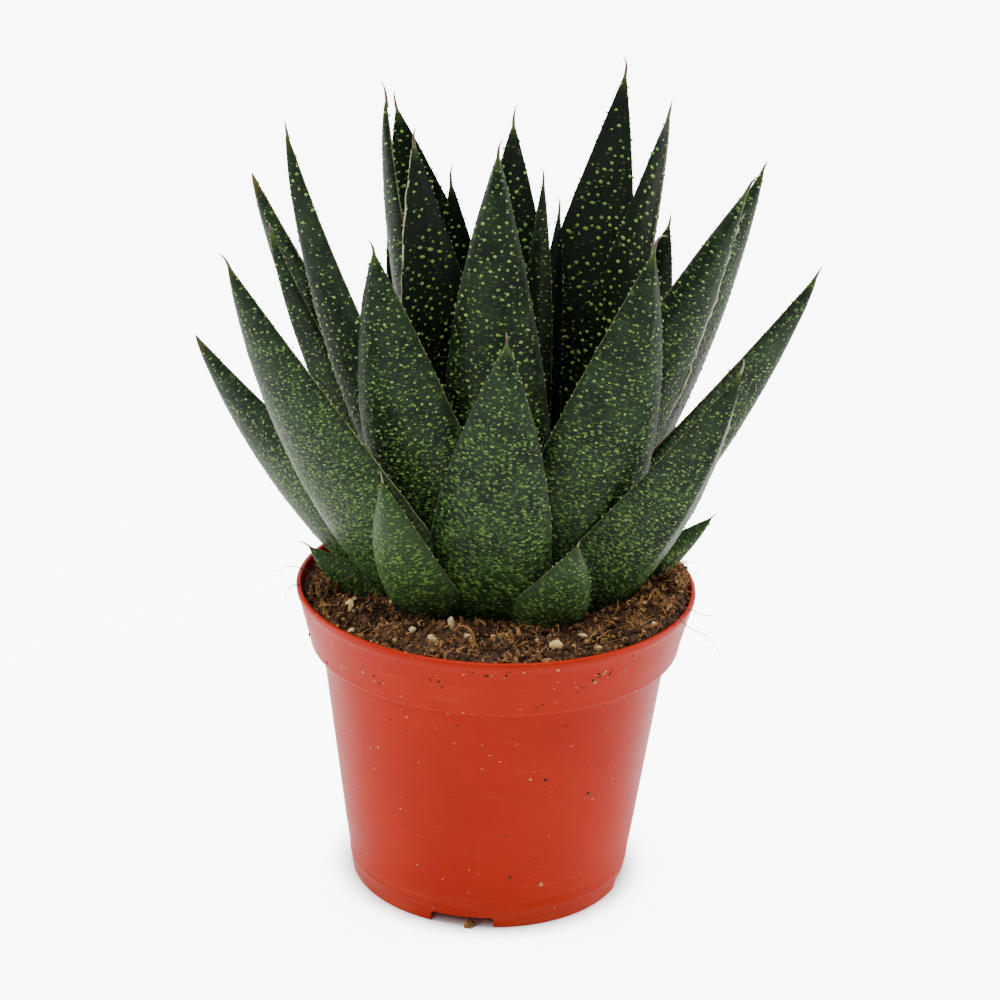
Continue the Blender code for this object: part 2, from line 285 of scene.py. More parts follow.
def dress(shader, colour, roughness, height):
    tree = shader.id_data
    bump = put(tree, "ShaderNodeBump", {"Height": height, "Strength": 1.0, "Distance": 1.0})
    values = {"Base Color": colour, "Roughness": roughness, "Normal": bump.outputs["Normal"]}
    for name, value in values.items():
        link(tree, value, shader.inputs[name])


def addSockets(tree, way, sockets):
    # each is given by its first value, or by its kind where it has none
    kinds = {float: "Float", int: "Int"}
    for name, value in sockets.items():
        kind = value
        if not isinstance(value, str):
            kind = kinds.get(type(value)) or {3: "Vector", 4: "Color"}[len(value)]
        made = tree.interface.new_socket(name=name, in_out=way, socket_type="NodeSocket" + kind)
        if kind != value:
            made.default_value = value


def newShaderGroup(name, inputs, outputs):
    tree = bpy.data.node_groups.new(name, "ShaderNodeTree")
    addSockets(tree, "INPUT", inputs)
    addSockets(tree, "OUTPUT", outputs)
    given = tree.nodes.new("NodeGroupInput").outputs
    kinds = {"VECTOR": Arrow, "VALUE": Field}
    fields = [kinds.get(socket.type, Arrow)(tree, socket) for socket in given if socket.name]
    return tree, fields, tree.nodes.new("NodeGroupOutput").inputs


def buildMottle():
    # slow colour change between two tones, with a finer grain in it
    tree, (spot, size, grain, dark, light), end = newShaderGroup("mottle", {
        "Vector": (0, 0, 0), "Size": 6.0, "Grain": 0.3, "Dark": (0, 0, 0, 1), "Light": (1, 1, 1, 1),
    }, {"Color": "Color", "Mask": "Float"})
    scale = 1000.0 / size
    fine = spot.noise(scale * 7.0)
    broad = spot.noise(scale, 3.0, Roughness=0.55).ramp(0.32, 0.68)
    mask = (broad + (fine - 0.5) * grain * 2.0).clamped()
    link(tree, blendColour(tree, mask, dark, light), end["Color"])
    link(tree, mask, end["Mask"])
    return tree


def buildSpecks():
    # scattered small spots, of uneven size
    tree, (spot, pitch, size, share), end = newShaderGroup("specks", {
        "Vector": (0, 0, 0), "Pitch": 5.0, "Size": 0.3, "Share": 0.4,
    }, {"Mask": "Float"})
    scale = 1000.0 / pitch
    distance, luck = spot.stirred(scale * 2.3, 2.0, 0.0008).cells(scale)
    filled = (1.0 - distance / (size * (luck[1] + 0.25))).clamped().ramp(0.0, 0.5)
    link(tree, filled * luck[0].under(share), end["Mask"])
    return tree


def buildRelief():
    # height of a fine uneven skin, in metres
    tree, (spot, size, depth), end = newShaderGroup("fineRelief", {
        "Vector": (0, 0, 0), "Size": 1.0, "Depth": 0.05,
    }, {"Height": "Float"})
    skin = spot.noise(1000.0 / size, 3.0, Roughness=0.6)
    link(tree, (skin - 0.5) * (depth * mm), end["Height"])
    return tree


mottleGroup, specksGroup, reliefGroup = buildMottle(), buildSpecks(), buildRelief()


def newGrowth(name, sockets):
    # a node tree for a modifier, with the given inputs by name and in a list
    tree = bpy.data.node_groups.new(name, "GeometryNodeTree")
    tree.is_modifier = True
    addSockets(tree, "INPUT", {"Geometry": "Geometry", **sockets, "Material": "Material"})
    addSockets(tree, "OUTPUT", {"Geometry": "Geometry"})
    given = tree.nodes.new("NodeGroupInput").outputs
    kinds = {"VECTOR": Arrow, "VALUE": Field, "INT": Field}
    given = {s.name: kinds[s.type](tree, s) if s.type in kinds else s for s in given if s.name}
    return tree, given, [given[name] for name in sockets]


def endGrowth(tree, given, geometry, soft=True):
    # copies become real geometry, with one material
    whole = grow(tree, "RealizeInstances", {"Geometry": geometry})
    if soft:
        whole = grow(tree, "SetShadeSmooth", {"Geometry": whole})
    inputs = {"Geometry": whole, "Material": given["Material"]}
    dressed = grow(tree, "SetMaterial", inputs)
    link(tree, dressed, tree.nodes.new("NodeGroupOutput").inputs[0])
    return tree


def grown(obj, tree, name, **values):
    # runs a tree on an object and returns what it makes as a plain mesh
    modifier = obj.modifiers.new(tree.name, "NODES")
    modifier.node_group = tree
    for item in tree.interface.items_tree:
        if item.in_out == "INPUT" and item.name in values:
            value = values.pop(item.name)
            modifier[item.identifier] = float(value) if item.socket_type == "NodeSocketFloat" else value
    if values:
        raise KeyError(f"{tree.name} has no input {list(values)}")
    bpy.context.view_layer.update()
    mesh = finished(obj, name)
    obj.modifiers.remove(modifier)
    return mesh


def chance(tree, low, high, seed, kind="FLOAT"):
    kinds = {"FLOAT": (2, 1, Field), "FLOAT_VECTOR": (0, 0, Arrow), "INT": (4, 2, Field)}
    first, output, wrap = kinds[kind]
    inputs = {first: low, first + 1: high, 8: seed}
    return wrap(tree, put(tree, "FunctionNodeRandomValue", inputs, data_type=kind).outputs[output])


def keepAttribute(tree, geometry, name, value, kind="FLOAT", domain="POINT"):
    inputs = {"Geometry": geometry, "Name": name, "Value": value}
    return grow(tree, "StoreNamedAttribute", inputs, data_type=kind, domain=domain)


def namedField(tree, name, kind="FLOAT"):
    node = put(tree, "GeometryNodeInputNamedAttribute", {"Name": name}, data_type=kind)
    wrap = Arrow if kind == "FLOAT_VECTOR" else Field
    return wrap(tree, openSocket(node.outputs, "Attribute"))


def pointSpot(tree):
    return Arrow(tree, grow(tree, "InputPosition"))


cameraSetup = {"aim": (0.0004, 0.0, 0.121), "distance": 0.8, "elevation": 21.5, "roll": 1.74, "lens": 96.9}
lightSetup = {
    "topLight": {"at": (0.0, 0.1, 1.25), "size": (1.5, 1.3), "watts": 31, "warmth": (1.0, 0.995, 0.98)},
    "keyLight": {"at": (-0.5, -0.85, 0.95), "size": (0.6, 0.6), "watts": 5, "warmth": (1.0, 0.985, 0.96)},
    "panelRight": {"at": (1.0, 0.25, 0.4), "size": (0.7, 0.9), "watts": 14, "warmth": (0.98, 0.99, 1.0)},
    "panelLeft": {"at": (-1.0, 0.25, 0.4), "size": (0.7, 0.9), "watts": 14, "warmth": (1.0, 1.0, 1.0)},
    "backLight": {"at": (0.1, 1.1, 0.7), "size": (1.2, 0.6), "watts": 8, "warmth": (1.0, 1.0, 1.0)},
}
# how bright the room is, seen and as fill, and how much of that the floor gives by itself near the pot
backdrop = {
    "seen": 9.0, "fill": 0.24, "floorGlow": 0.38, "litFloor": 1.7,
    "floorEdge": 6, "nearPot": (0.0405, 0.052), "farOff": (0.22, 0.8),
}


def makeCamera(setup):
    tilt, roll = math.radians(setup["elevation"]), math.radians(setup["roll"])
    back, right = Vector((0, -math.cos(tilt), math.sin(tilt))), Vector((1, 0, 0))
    up = back.cross(right)
    turnedRight = right * math.cos(roll) + up * math.sin(roll)
    turnedUp = -right * math.sin(roll) + up * math.cos(roll)
    data = bpy.data.cameras.new("camera")
    data.lens, data.sensor_width = setup["lens"], 36
    data.clip_start, data.clip_end = 0.05, 20
    camera = addObject("camera", data)
    camera.matrix_world = Matrix((turnedRight, turnedUp, back)).transposed().to_4x4()
    camera.location = Vector(setup["aim"]) + back * setup["distance"]
    scene.camera = camera


def seenBy(tree, atCamera, elsewhere):
    # one value for what the camera sees and another for the light that it gives
    seen = Field(tree, put(tree, "ShaderNodeLightPath").outputs["Is Camera Ray"])
    return seen * (atCamera - elsewhere) + elsewhere


def makeLights(setup):
    aim = Vector((0, 0, 0.12))
    for name, values in setup.items():
        data = bpy.data.lights.new(name, "AREA")
        data.shape = "RECTANGLE"
        data.size, data.size_y = values["size"]
        data.energy = values["watts"]
        data.color = values["warmth"]
        lamp = addObject(name, data)
        lamp.location = values["at"]
        lamp.rotation_euler = (aim - lamp.location).to_track_quat("-Z", "Y").to_euler()
    world = bpy.data.worlds.new("softRoom")
    world.use_nodes = True
    room = world.node_tree.nodes["Background"].inputs
    room["Color"].default_value = (1, 1, 1, 1)
    link(world.node_tree, seenBy(world.node_tree, backdrop["seen"], backdrop["fill"]), room["Strength"])
    scene.world = world


def makeFloor():
    reach = backdrop["floorEdge"]
    corners = [(-reach, -reach, 0), (reach, -reach, 0), (reach, reach, 0), (-reach, reach, 0)]
    material, tree, shader = newMaterial("paleFloor", 0.8, 0.0)
    shader.inputs["Emission Color"].default_value = (1, 1, 1, 1)
    x, y = objectSpot(tree).parts()[:2]
    distance = (x ** 2.0 + y ** 2.0) ** 0.5
    # further out the floor takes no light and has the room's own brightness, so that no edge shows
    away = distance.ramp(*backdrop["farOff"])
    link(tree, blendColour(tree, away, (0.93, 0.93, 0.93, 1), (0, 0, 0, 1)), shader.inputs["Base Color"])
    own = seenBy(tree, backdrop["seen"] - backdrop["litFloor"], backdrop["floorGlow"])
    glow = distance.ramp(*backdrop["nearPot"]) * own + away * backdrop["litFloor"]
    link(tree, glow, shader.inputs["Emission Strength"])
    addObject("floor", meshOf("floor", corners, [(0, 1, 2, 3)], material))


makeCamera(cameraSetup)
makeLights(lightSetup)
makeFloor()
print("camera, lights and floor are ready")


potShape = {
    "height": 95.0, "rimRadius": 60.0, "rimBand": 18.5, "rimLowRadius": 55.8, "wallTopRadius": 52.1,
    "footRadius": 42.2, "wall": 1.1, "lip": 1.6, "lipRound": 0.75, "footRing": 2.8,
    "plateUnder": 3.8, "plateTop": 5.2, "turns": 224,
    "notches": 4, "notchWidth": 19.0, "notchHeight": 3.6, "notchTurn": -100.0, "notchRound": 1.1,
    "holes": 6, "holeRadius": 4.0, "holeCircle": 27.0,
}
potLook = {
    "deep": (0.31, 0.008, 0.0002, 1), "bright": (0.35, 0.011, 0.0003, 1), "dust": (0.50, 0.16, 0.07, 1),
    "speck": (0.66, 0.40, 0.26, 1), "soil": (0.07, 0.03, 0.018, 1), "roughness": 0.36,
}


def arc(cx, cz, radius, fromTurn, toTurn, steps):
    # points of a rounded corner in the profile, in degrees
    turns = np.radians(np.linspace(fromTurn, toTurn, steps))
    return [(cx + radius * math.cos(t), cz + radius * math.sin(t)) for t in turns]


def potInside(shape, z):
    ledge = shape["height"] - shape["rimBand"]
    if z <= ledge + 1:
        share = (z - shape["plateTop"]) / (ledge + 1 - shape["plateTop"])
        inner = shape["footRadius"] - shape["wall"] + 0.4
        return inner + share * (shape["wallTopRadius"] - shape["footRadius"] - 0.3)
    share = (z - ledge - 1.6) / (shape["height"] - 1 - ledge - 1.6)
    inner = shape["rimLowRadius"] - 1.6
    return inner + max(0, share) * (shape["rimRadius"] - shape["lip"] - inner)


def potProfile(shape):
    top, ledge = shape["height"], shape["height"] - shape["rimBand"]
    names = ("rimRadius", "rimLowRadius", "wallTopRadius", "footRadius")
    rim, low, wallTop, foot = (shape[name] for name in names)
    slope = (rim - low) / (shape["rimBand"] - 1.6)
    lipRound = shape["lipRound"]
    outer = arc(rim - lipRound, top - lipRound, lipRound, 100, 0, 7)
    outer += [(rim - 0.12, top - 1.9), (rim - 0.42, top - 2.4)]
    outer += [(low + slope * step, ledge + 1.4 + step) for step in (13.0, 10.0, 7.0, 4.0, 2.0)]
    outer += arc(low - 1.15, ledge + 1.2, 1.2, 0, -88, 7)
    outer += [(wallTop + 1.2, ledge - 0.02)] + arc(wallTop + 0.9, ledge - 0.8, 0.8, 100, 176, 5)
    outer += [(wallTop - 0.14, ledge - 2.2)]
    taper, span = wallTop - foot - 1.25, ledge - 10.0
    outer += [(foot + 1.1 + taper * share, 7.4 + span * share) for share in (0.85, 0.6, 0.35, 0.15)]
    footSteps = ((0.86, 7.0), (0.99, 6.6), (0.98, 6.1), (0.74, 5.75), (0.32, 2.6))
    outer += [(foot + step, z) for step, z in footSteps]
    outer += arc(foot - 0.55, 0.6, 0.6, 0, -90, 5)
    ring, under = foot - shape["footRing"], shape["plateUnder"]
    outer += arc(ring + 0.5, 0.5, 0.5, -90, -180, 4)
    outer += [(ring - 0.3, under - 0.5), (ring - 0.8, under), (0, under)]
    inner = [(0, shape["plateTop"]), (potInside(shape, 5.2) - 0.9, shape["plateTop"])]
    inner += [(potInside(shape, z), z) for z in (6.2, 30.0, 55.0, ledge + 0.7)]
    inner += [(potInside(shape, ledge + 0.9) + 0.5, ledge + 1.4)]
    inner += [(potInside(shape, ledge + 1.7) - 0.4, ledge + 1.7)]
    inner += [(potInside(shape, z), z) for z in (ledge + 2.4, top - 10, top - 3)]
    inner += arc(rim - shape["lip"] + lipRound, top - lipRound, lipRound, 180, 110, 6)
    return outer + inner


def turned(name, profile, steps):
    count = len(profile)
    edges = [(i, (i + 1) % count) for i in range(count)]
    made = addObject(name, meshOf(name, [(r * mm, 0, z * mm) for r, z in profile], [], edges=edges))
    turn = made.modifiers.new("turned", "SCREW")
    turn.steps = turn.render_steps = steps
    turn.use_merge_vertices = True
    turn.merge_threshold = 0.00001
    return made


def cutterBox(name, centre, size, turn, rounded):
    work = bmesh.new()
    bmesh.ops.create_cube(work, size=1.0)
    bmesh.ops.scale(work, vec=Vector(size) * mm, verts=work.verts)
    lengthwise = [e for e in work.edges if abs(e.verts[0].co.x - e.verts[1].co.x) > size[0] * mm * 0.5]
    bmesh.ops.bevel(work, geom=lengthwise, offset=rounded * mm, segments=4, affect="EDGES", profile=0.5)
    bmesh.ops.rotate(work, cent=(0, 0, 0), matrix=Matrix.Rotation(turn, 3, "Z"), verts=work.verts)
    bmesh.ops.translate(work, vec=Vector(centre) * mm, verts=work.verts)
    return addObject(name, meshFrom(work, name), helperBits)


def cutterDrum(name, radius, low, high, centre):
    work = bmesh.new()
    sizes = {"radius1": radius * mm, "radius2": radius * mm, "depth": (high - low) * mm}
    bmesh.ops.create_cone(work, cap_ends=True, segments=32, **sizes)
    middle = (centre[0] * mm, centre[1] * mm, (low + high) / 2 * mm)
    bmesh.ops.translate(work, vec=middle, verts=work.verts)
    return addObject(name, meshFrom(work, name), helperBits)


def cutPot(pot, shape):
    tools = []
    reach, height = shape["footRadius"] - 1, shape["notchHeight"]
    for index in range(shape["notches"]):
        turn = math.radians(shape["notchTurn"] + 360 / shape["notches"] * index)
        centre = (reach * math.cos(turn), reach * math.sin(turn), height / 2 - 2)
        size = (14, shape["notchWidth"], height + 4)
        tools.append(cutterBox(f"notch{index}", centre, size, turn, shape["notchRound"]))
    low, high = shape["plateUnder"] - 3, shape["plateTop"] + 3
    for index in range(shape["holes"]):
        turn = 2 * math.pi * (index + 0.5) / shape["holes"]
        centre = (shape["holeCircle"] * math.cos(turn), shape["holeCircle"] * math.sin(turn))
        tools.append(cutterDrum(f"hole{index}", shape["holeRadius"], low, high, centre))
    for tool in tools:
        step = pot.modifiers.new(tool.name, "BOOLEAN")
        step.operation, step.solver, step.object = "DIFFERENCE", "EXACT", tool
    return tools


def potMaterial(look):
    material, tree, shader = newMaterial("potPlastic", look["roughness"], 0.09)
    spot = objectSpot(tree)
    height = spot.parts()[2]
    tone, toneMask = spot.mottle(40.0, 0.12, look["deep"], look["bright"])
    # painted light: the rim band is blended towards the bright tone, so it is lighter than the wall below
    colour = blendColour(tree, height.ramp(0.072, 0.080) * 0.35, tone, look["bright"])
    stretched = spot.mapped(Scale=(0.35, 0.35, 3.2))
    smears = stretched.noise(70.0, 4.0, Roughness=0.62)
    smearMask = smears.evenRamp(0.6, 0.8, 0.0, 0.16)
    lowDust = height.evenRamp(0.016, 0.0, 0.0, 0.14) * smears.evenRamp(0.4, 0.62)
    colour = blendColour(tree, smearMask, colour, look["dust"])
    colour = blendColour(tree, lowDust, colour, look["dust"])
    # fine dust specks sit mostly on the upper wall and the rim
    upward = height.evenRamp(0.03, 0.085, 0.25, 1.0)
    pale = spot.mapped(Scale=(1.0, 1.0, 1.9)).specks(2.6, 0.12, upward * 0.34)
    colour = blendColour(tree, pale * 0.8, colour, look["speck"])
    dark = spot.mapped(Location=(0.3, 0.1, 0.2)).specks(5.0, 0.13, 0.25)
    colour = blendColour(tree, dark * 0.8, colour, look["soil"])
    rough = toneMask.evenRamp(0, 1, look["roughness"] - 0.04, look["roughness"] + 0.08)
    skin = spot.relief(1.1, 0.035) + stretched.relief(2.5, 0.05) + pale * 0.00006
    dress(shader, colour, rough + (smearMask + lowDust) * 0.8, skin)
    return material


def makePot(shape, look):
    raw = turned("potTurned", potProfile(shape), shape["turns"])
    tools = cutPot(raw, shape)
    bpy.context.view_layer.update()
    mesh = finished(raw, "nurseryPot")
    for old in [raw] + tools:
        discard(old)
    softShade(mesh, 38)
    mesh.materials.clear()
    mesh.materials.append(potMaterial(look))
    pot = addObject("nurseryPot", mesh)
    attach(pot, "root")
    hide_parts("pot")
    return pot


pot = makePot(potShape, potLook)
print("pot:", len(pot.data.polygons), "faces")


# each leaf in millimetres: where it leaves the crown, its tip, its width, how far it bows out,
# which way its back faces, and what sets it apart
leafTable = {
    "heartLeaf01": ((5, 0, 108), (10, 0, 220), 14, 2, 250, {"Thick": 5}),
    "heartLeaf02": ((7, 2, 108), (15, 6, 210), 12, 2, 90, {"Thick": 5}),
    "innerLeaf01": ((-7, -3, 96), (-62, -12, 234), 29, 13, 222,
                    {"Taper": 1.5, "Keel": 0.5, "Keel At": -0.35}),
    "innerLeaf02": ((-4, 7, 102), (-36, 22, 236), 30, 11, 190, {}),
    "innerLeaf03": ((-3, 11, 99), (-34, 40, 230), 38, 3, 100, {"sway": -4}),
    "innerLeaf04": ((-1, 0, 104), (-27, -2, 230), 28, 6, 112, {}),
    "innerLeaf05": ((0, 9, 103), (-17, 28, 211), 24, 4, 80, {}),
    "innerLeaf06": ((3, -8, 98), (-3, -12, 230), 32, 6, 265, {"sway": 1.5}),
    "innerLeaf07": ((3, 5, 104), (1, 12, 233), 32, 4, 80, {"sway": -0.5}),
    "innerLeaf08": ((8, 6, 100), (33, 24, 246), 36, 4, 80, {"sway": -1, "Taper": 1.55}),
    "innerLeaf09": ((8, 0, 100), (45, 4, 239), 25, 5, 40, {}),
    "middleLeaf01": ((-9, 6, 92), (-75, 22, 213), 33, 8, 215, {"Blunt": 1.25}),
    "middleLeaf02": ((-10, 1, 89), (-68, 6, 200), 24, 10, 215, {"Keel": 0.6, "Keel At": -0.2}),
    "middleLeaf03": ((-4, -10, 90), (-37, -21, 203), 34, 9, 250, {"sway": -2, "Taper": 2.1}),
    "middleLeaf04": ((10, -10, 88), (41, -26, 207), 36, 8, 285, {"Keel": 0.35, "Keel At": 0.45}),
    "middleLeaf05": ((11, -4, 94), (67.5, -10, 221.5), 26, 1, 286,
                     {"Keel": 0.25, "Keel At": -0.2, "Rust": 0.7}),
    "middleLeaf06": ((11, 4, 92), (74, 18, 220), 37, 8, 318, {}),
    "middleLeaf07": ((8, 8, 92), (49, 42, 196), 36, 12, 62, {}),
    "middleLeaf08": ((0, 12, 94), (-8, 53, 188), 30, 7, 95, {}),
    "outerLeaf01": ((-13, 2, 84), (-91, 12, 166), 34, 11, 220, {"Blunt": 0.8}),
    "outerLeaf02": ((-13, -8, 85), (-77, -28, 200), 36, 9, 232, {}),
    "outerLeaf03": ((-4, -15, 84), (1, -35, 182), 36, 8, 263, {"sway": -1, "Keel": 0.3, "Keel At": 0.3}),
    "outerLeaf04": ((14, -10, 84), (67, -26, 172), 30, 9.5, 300, {"Keel": 0.8, "Keel At": 0.45}),
    "outerLeaf05": ((14, 3, 85), (91, 12, 190), 34, 9, 320, {"Keel": 0.5, "Keel At": 0.4, "Rust": 0.7}),
    "outerLeaf06": ((13, 9, 84), (66, 46, 141), 24, 8, 35, {}),
    "outerLeaf07": ((10, 12, 84), (44, 57, 160), 28, 8, 55, {}),
    "outerLeaf08": ((5, 14, 86), (14, 58, 168), 29, 8, 80, {}),
    "outerLeaf09": ((-4, 14, 85), (-22, 57, 170), 29, 8, 108, {}),
    "outerLeaf10": ((-10, 12, 84), (-54, 52, 162), 28, 8, 135, {}),
    "outerLeaf11": ((-14, 8, 84), (-66, 36, 140), 24, 8, 155, {}),
    "basalLeaf01": ((-14, -11, 85), (-33, -34, 139), 26, 7, 240, {}),
    "basalLeaf02": ((9, -14, 84), (23, -36, 122), 24, 6, 285, {}),
    "basalLeaf03": ((-16, -2, 84), (-56, -4, 106), 20, 5, 230, {}),
    "basalLeaf04": ((16, 4, 82), (64, 4, 116), 18, 5, 300, {}),
    "basalLeaf05": ((-13, 13, 86), (-42, 46, 112), 19, 1, 130, {}),
    "basalLeaf06": ((9, 15, 86), (33, 50, 113), 19, 1, 62, {}),
}
leafShape = {
    "around": 46, "rings": 62, "thick": 8.0, "hollow": 2.0, "footShare": 0.72, "widest": 0.28, "taper": 1.8,
    "marginThick": 1.1, "ripple": 0.3, "wave": 0.45,
    "flecks": {"heart": 0.2, "inner": 0.3, "middle": 0.6, "outer": 0.8, "basal": 1.15},
}
leafLook = {
    "backDark": (0.004, 0.011, 0.004, 1), "backLight": (0.0145, 0.030, 0.0115, 1),
    "frontDark": (0.0025, 0.006, 0.0025, 1), "frontLight": (0.006, 0.014, 0.005, 1),
    "fleck": (0.135, 0.235, 0.045, 1), "fleckDull": (0.05, 0.105, 0.027, 1),
    # foot is the deep green of the painted shade low on each leaf
    "foot": (0.010, 0.040, 0.004, 1), "footPale": (0.25, 0.33, 0.12, 1), "young": (0.030, 0.062, 0.021, 1),
    "margin": (0.22, 0.28, 0.11, 1), "rust": (0.15, 0.07, 0.025, 1),
    "tip": (0.055, 0.085, 0.014, 1), "dry": (0.12, 0.075, 0.03, 1), "roughness": 0.36,
}


def buildLeafBlade(shape):
    # one fleshy leaf: a thick rounded or keeled back and a hollowed face, along a bowed midrib
    tree, given, fields = newGrowth("leafBlade", {
        "Foot": "Vector", "Bend": "Vector", "Tip": "Vector", "Facing": "Vector", "Width": 30.0,
        "Thick": shape["thick"], "Taper": shape["taper"], "Keel": 0.0, "Keel At": 0.3,
        "Seed": 0.0, "Flecks": 0.5, "Blunt": 0.0, "Rust": 0.0,
    })
    foot, bend, tip, facing, width, thick, taper, keel, keelAt, seed, flecks, blunt, rust = fields
    counts = {"Vertices X": shape["around"] + 1, "Vertices Y": shape["rings"] + 1}
    grid = grow(tree, "MeshGrid", {"Size X": 1.0, "Size Y": 1.0, **counts})
    x, y = pointSpot(tree).parts()[:2]
    roundTurn, climb = x + 0.5, y + 0.5
    firstRing = 1.0 / shape["rings"]
    t = 1 - (1 - ((climb - firstRing) / (1 - firstRing)).clamped()) ** 1.25
    beyondFoot = climb.over(firstRing * 0.5)
    turn = roundTurn * (2 * math.pi)
    u, onBack = -turn.cosine(), roundTurn.under(0.5)
    rest = 1 - t
    # the midrib, and the two directions across it
    line = foot * (rest * rest) + bend * (2 * t * rest) + tip * (t * t)
    heading = ((bend - foot) * rest + (tip - bend) * t).unit()
    normal = (facing - heading * heading.dot(facing)).unit()
    side = heading.cross(normal)
    # half the width and the thickness at each height
    early = (t / shape["widest"]).atMost(1.0)
    rising = shape["footShare"] + (1 - shape["footShare"]) * (early * (math.pi / 2)).sine()
    falling = 1 - ((t - shape["widest"]) / (1 - shape["widest"])).clamped() ** taper
    half = (rising * falling * width * 0.5).atLeast(blunt * (rest * 45.0).atMost(1.0))
    full = thick * rest ** 0.55 * (0.55 + 0.45 * (t / 0.15).atMost(1.0))
    rim = (turn.sine().size() * 5.0).atMost(1.0) * (shape["marginThick"] / 2) * (1 - 0.55 * t)
    rim = rim * (rest * 14.0).atMost(1.0)
    roundBack = (1 - u.size() ** 2.2).atLeast(0.0) ** 0.75
    tent = ((u + 1) / (keelAt + 1)).atMost((1 - u) / (1 - keelAt))
    ridge = tent - (tent - 0.86).atLeast(0.0) * 0.45
    share = keel * ((t - 0.1) / 0.3).clamped()
    back = full * (roundBack * (1 - share) + ridge * share * 1.12)
    hollow = ((t * 1.05).atMost(1.0) * math.pi).sine().atLeast(0.0) ** 0.7 * shape["hollow"]
    front = hollow.atMost(full * 0.45) * (1 - u * u)
    # uneven growth
    drift = vectorOf(tree, u * 0.9, t * 5.0, seed + onBack * 3.0).noise(1.6) - 0.5
    wave = vectorOf(tree, u.over(0.0) * 5.0, t * 26.0, seed + 9.0).noise(1.0, 1.0) - 0.5
    swell = drift * (shape["ripple"] * 2) * (1 - u.size() ** 4.0) * (rest * 6.0).atMost(1.0)
    ribs = (u * 17.0 + drift * 4.0).sine() * 0.05 * (rest * 4.0).atMost(1.0) * (1 - u * u)
    through = onBack * (back + rim + swell + ribs) + (1 - onBack) * (front - rim + swell * 0.8 + ribs)
    across = u * half * (1 + wave * (2 * shape["wave"] / 14.0) * u.size() ** 3.0)
    place = line + side * (across * beyondFoot * mm) + normal * (through * beyondFoot * mm)
    shaped = keepAttribute(tree, grid, "leafUv", vectorOf(tree, roundTurn, climb), "FLOAT2", "CORNER")
    kept = {
        "along": t, "across": u, "backSide": onBack, "flecky": flecks, "dryTip": blunt, "rusty": rust,
        "sideways": side,
        "leafMm": vectorOf(tree, u * half, t * tip.distance(foot) * 1000, seed * 17.0 + onBack * 60.0),
        "leafTone": chance(tree, 0.0, 1.0, seed * 13.0),
    }
    for name, value in kept.items():
        kind = "FLOAT" if isinstance(value, Field) else "FLOAT_VECTOR"
        shaped = keepAttribute(tree, shaped, name, value, kind)
    moved = grow(tree, "SetPosition", {"Geometry": shaped, "Position": place})
    merged = grow(tree, "MergeByDistance", {"Geometry": moved, "Distance": 0.000004})
    return endGrowth(tree, given, merged)


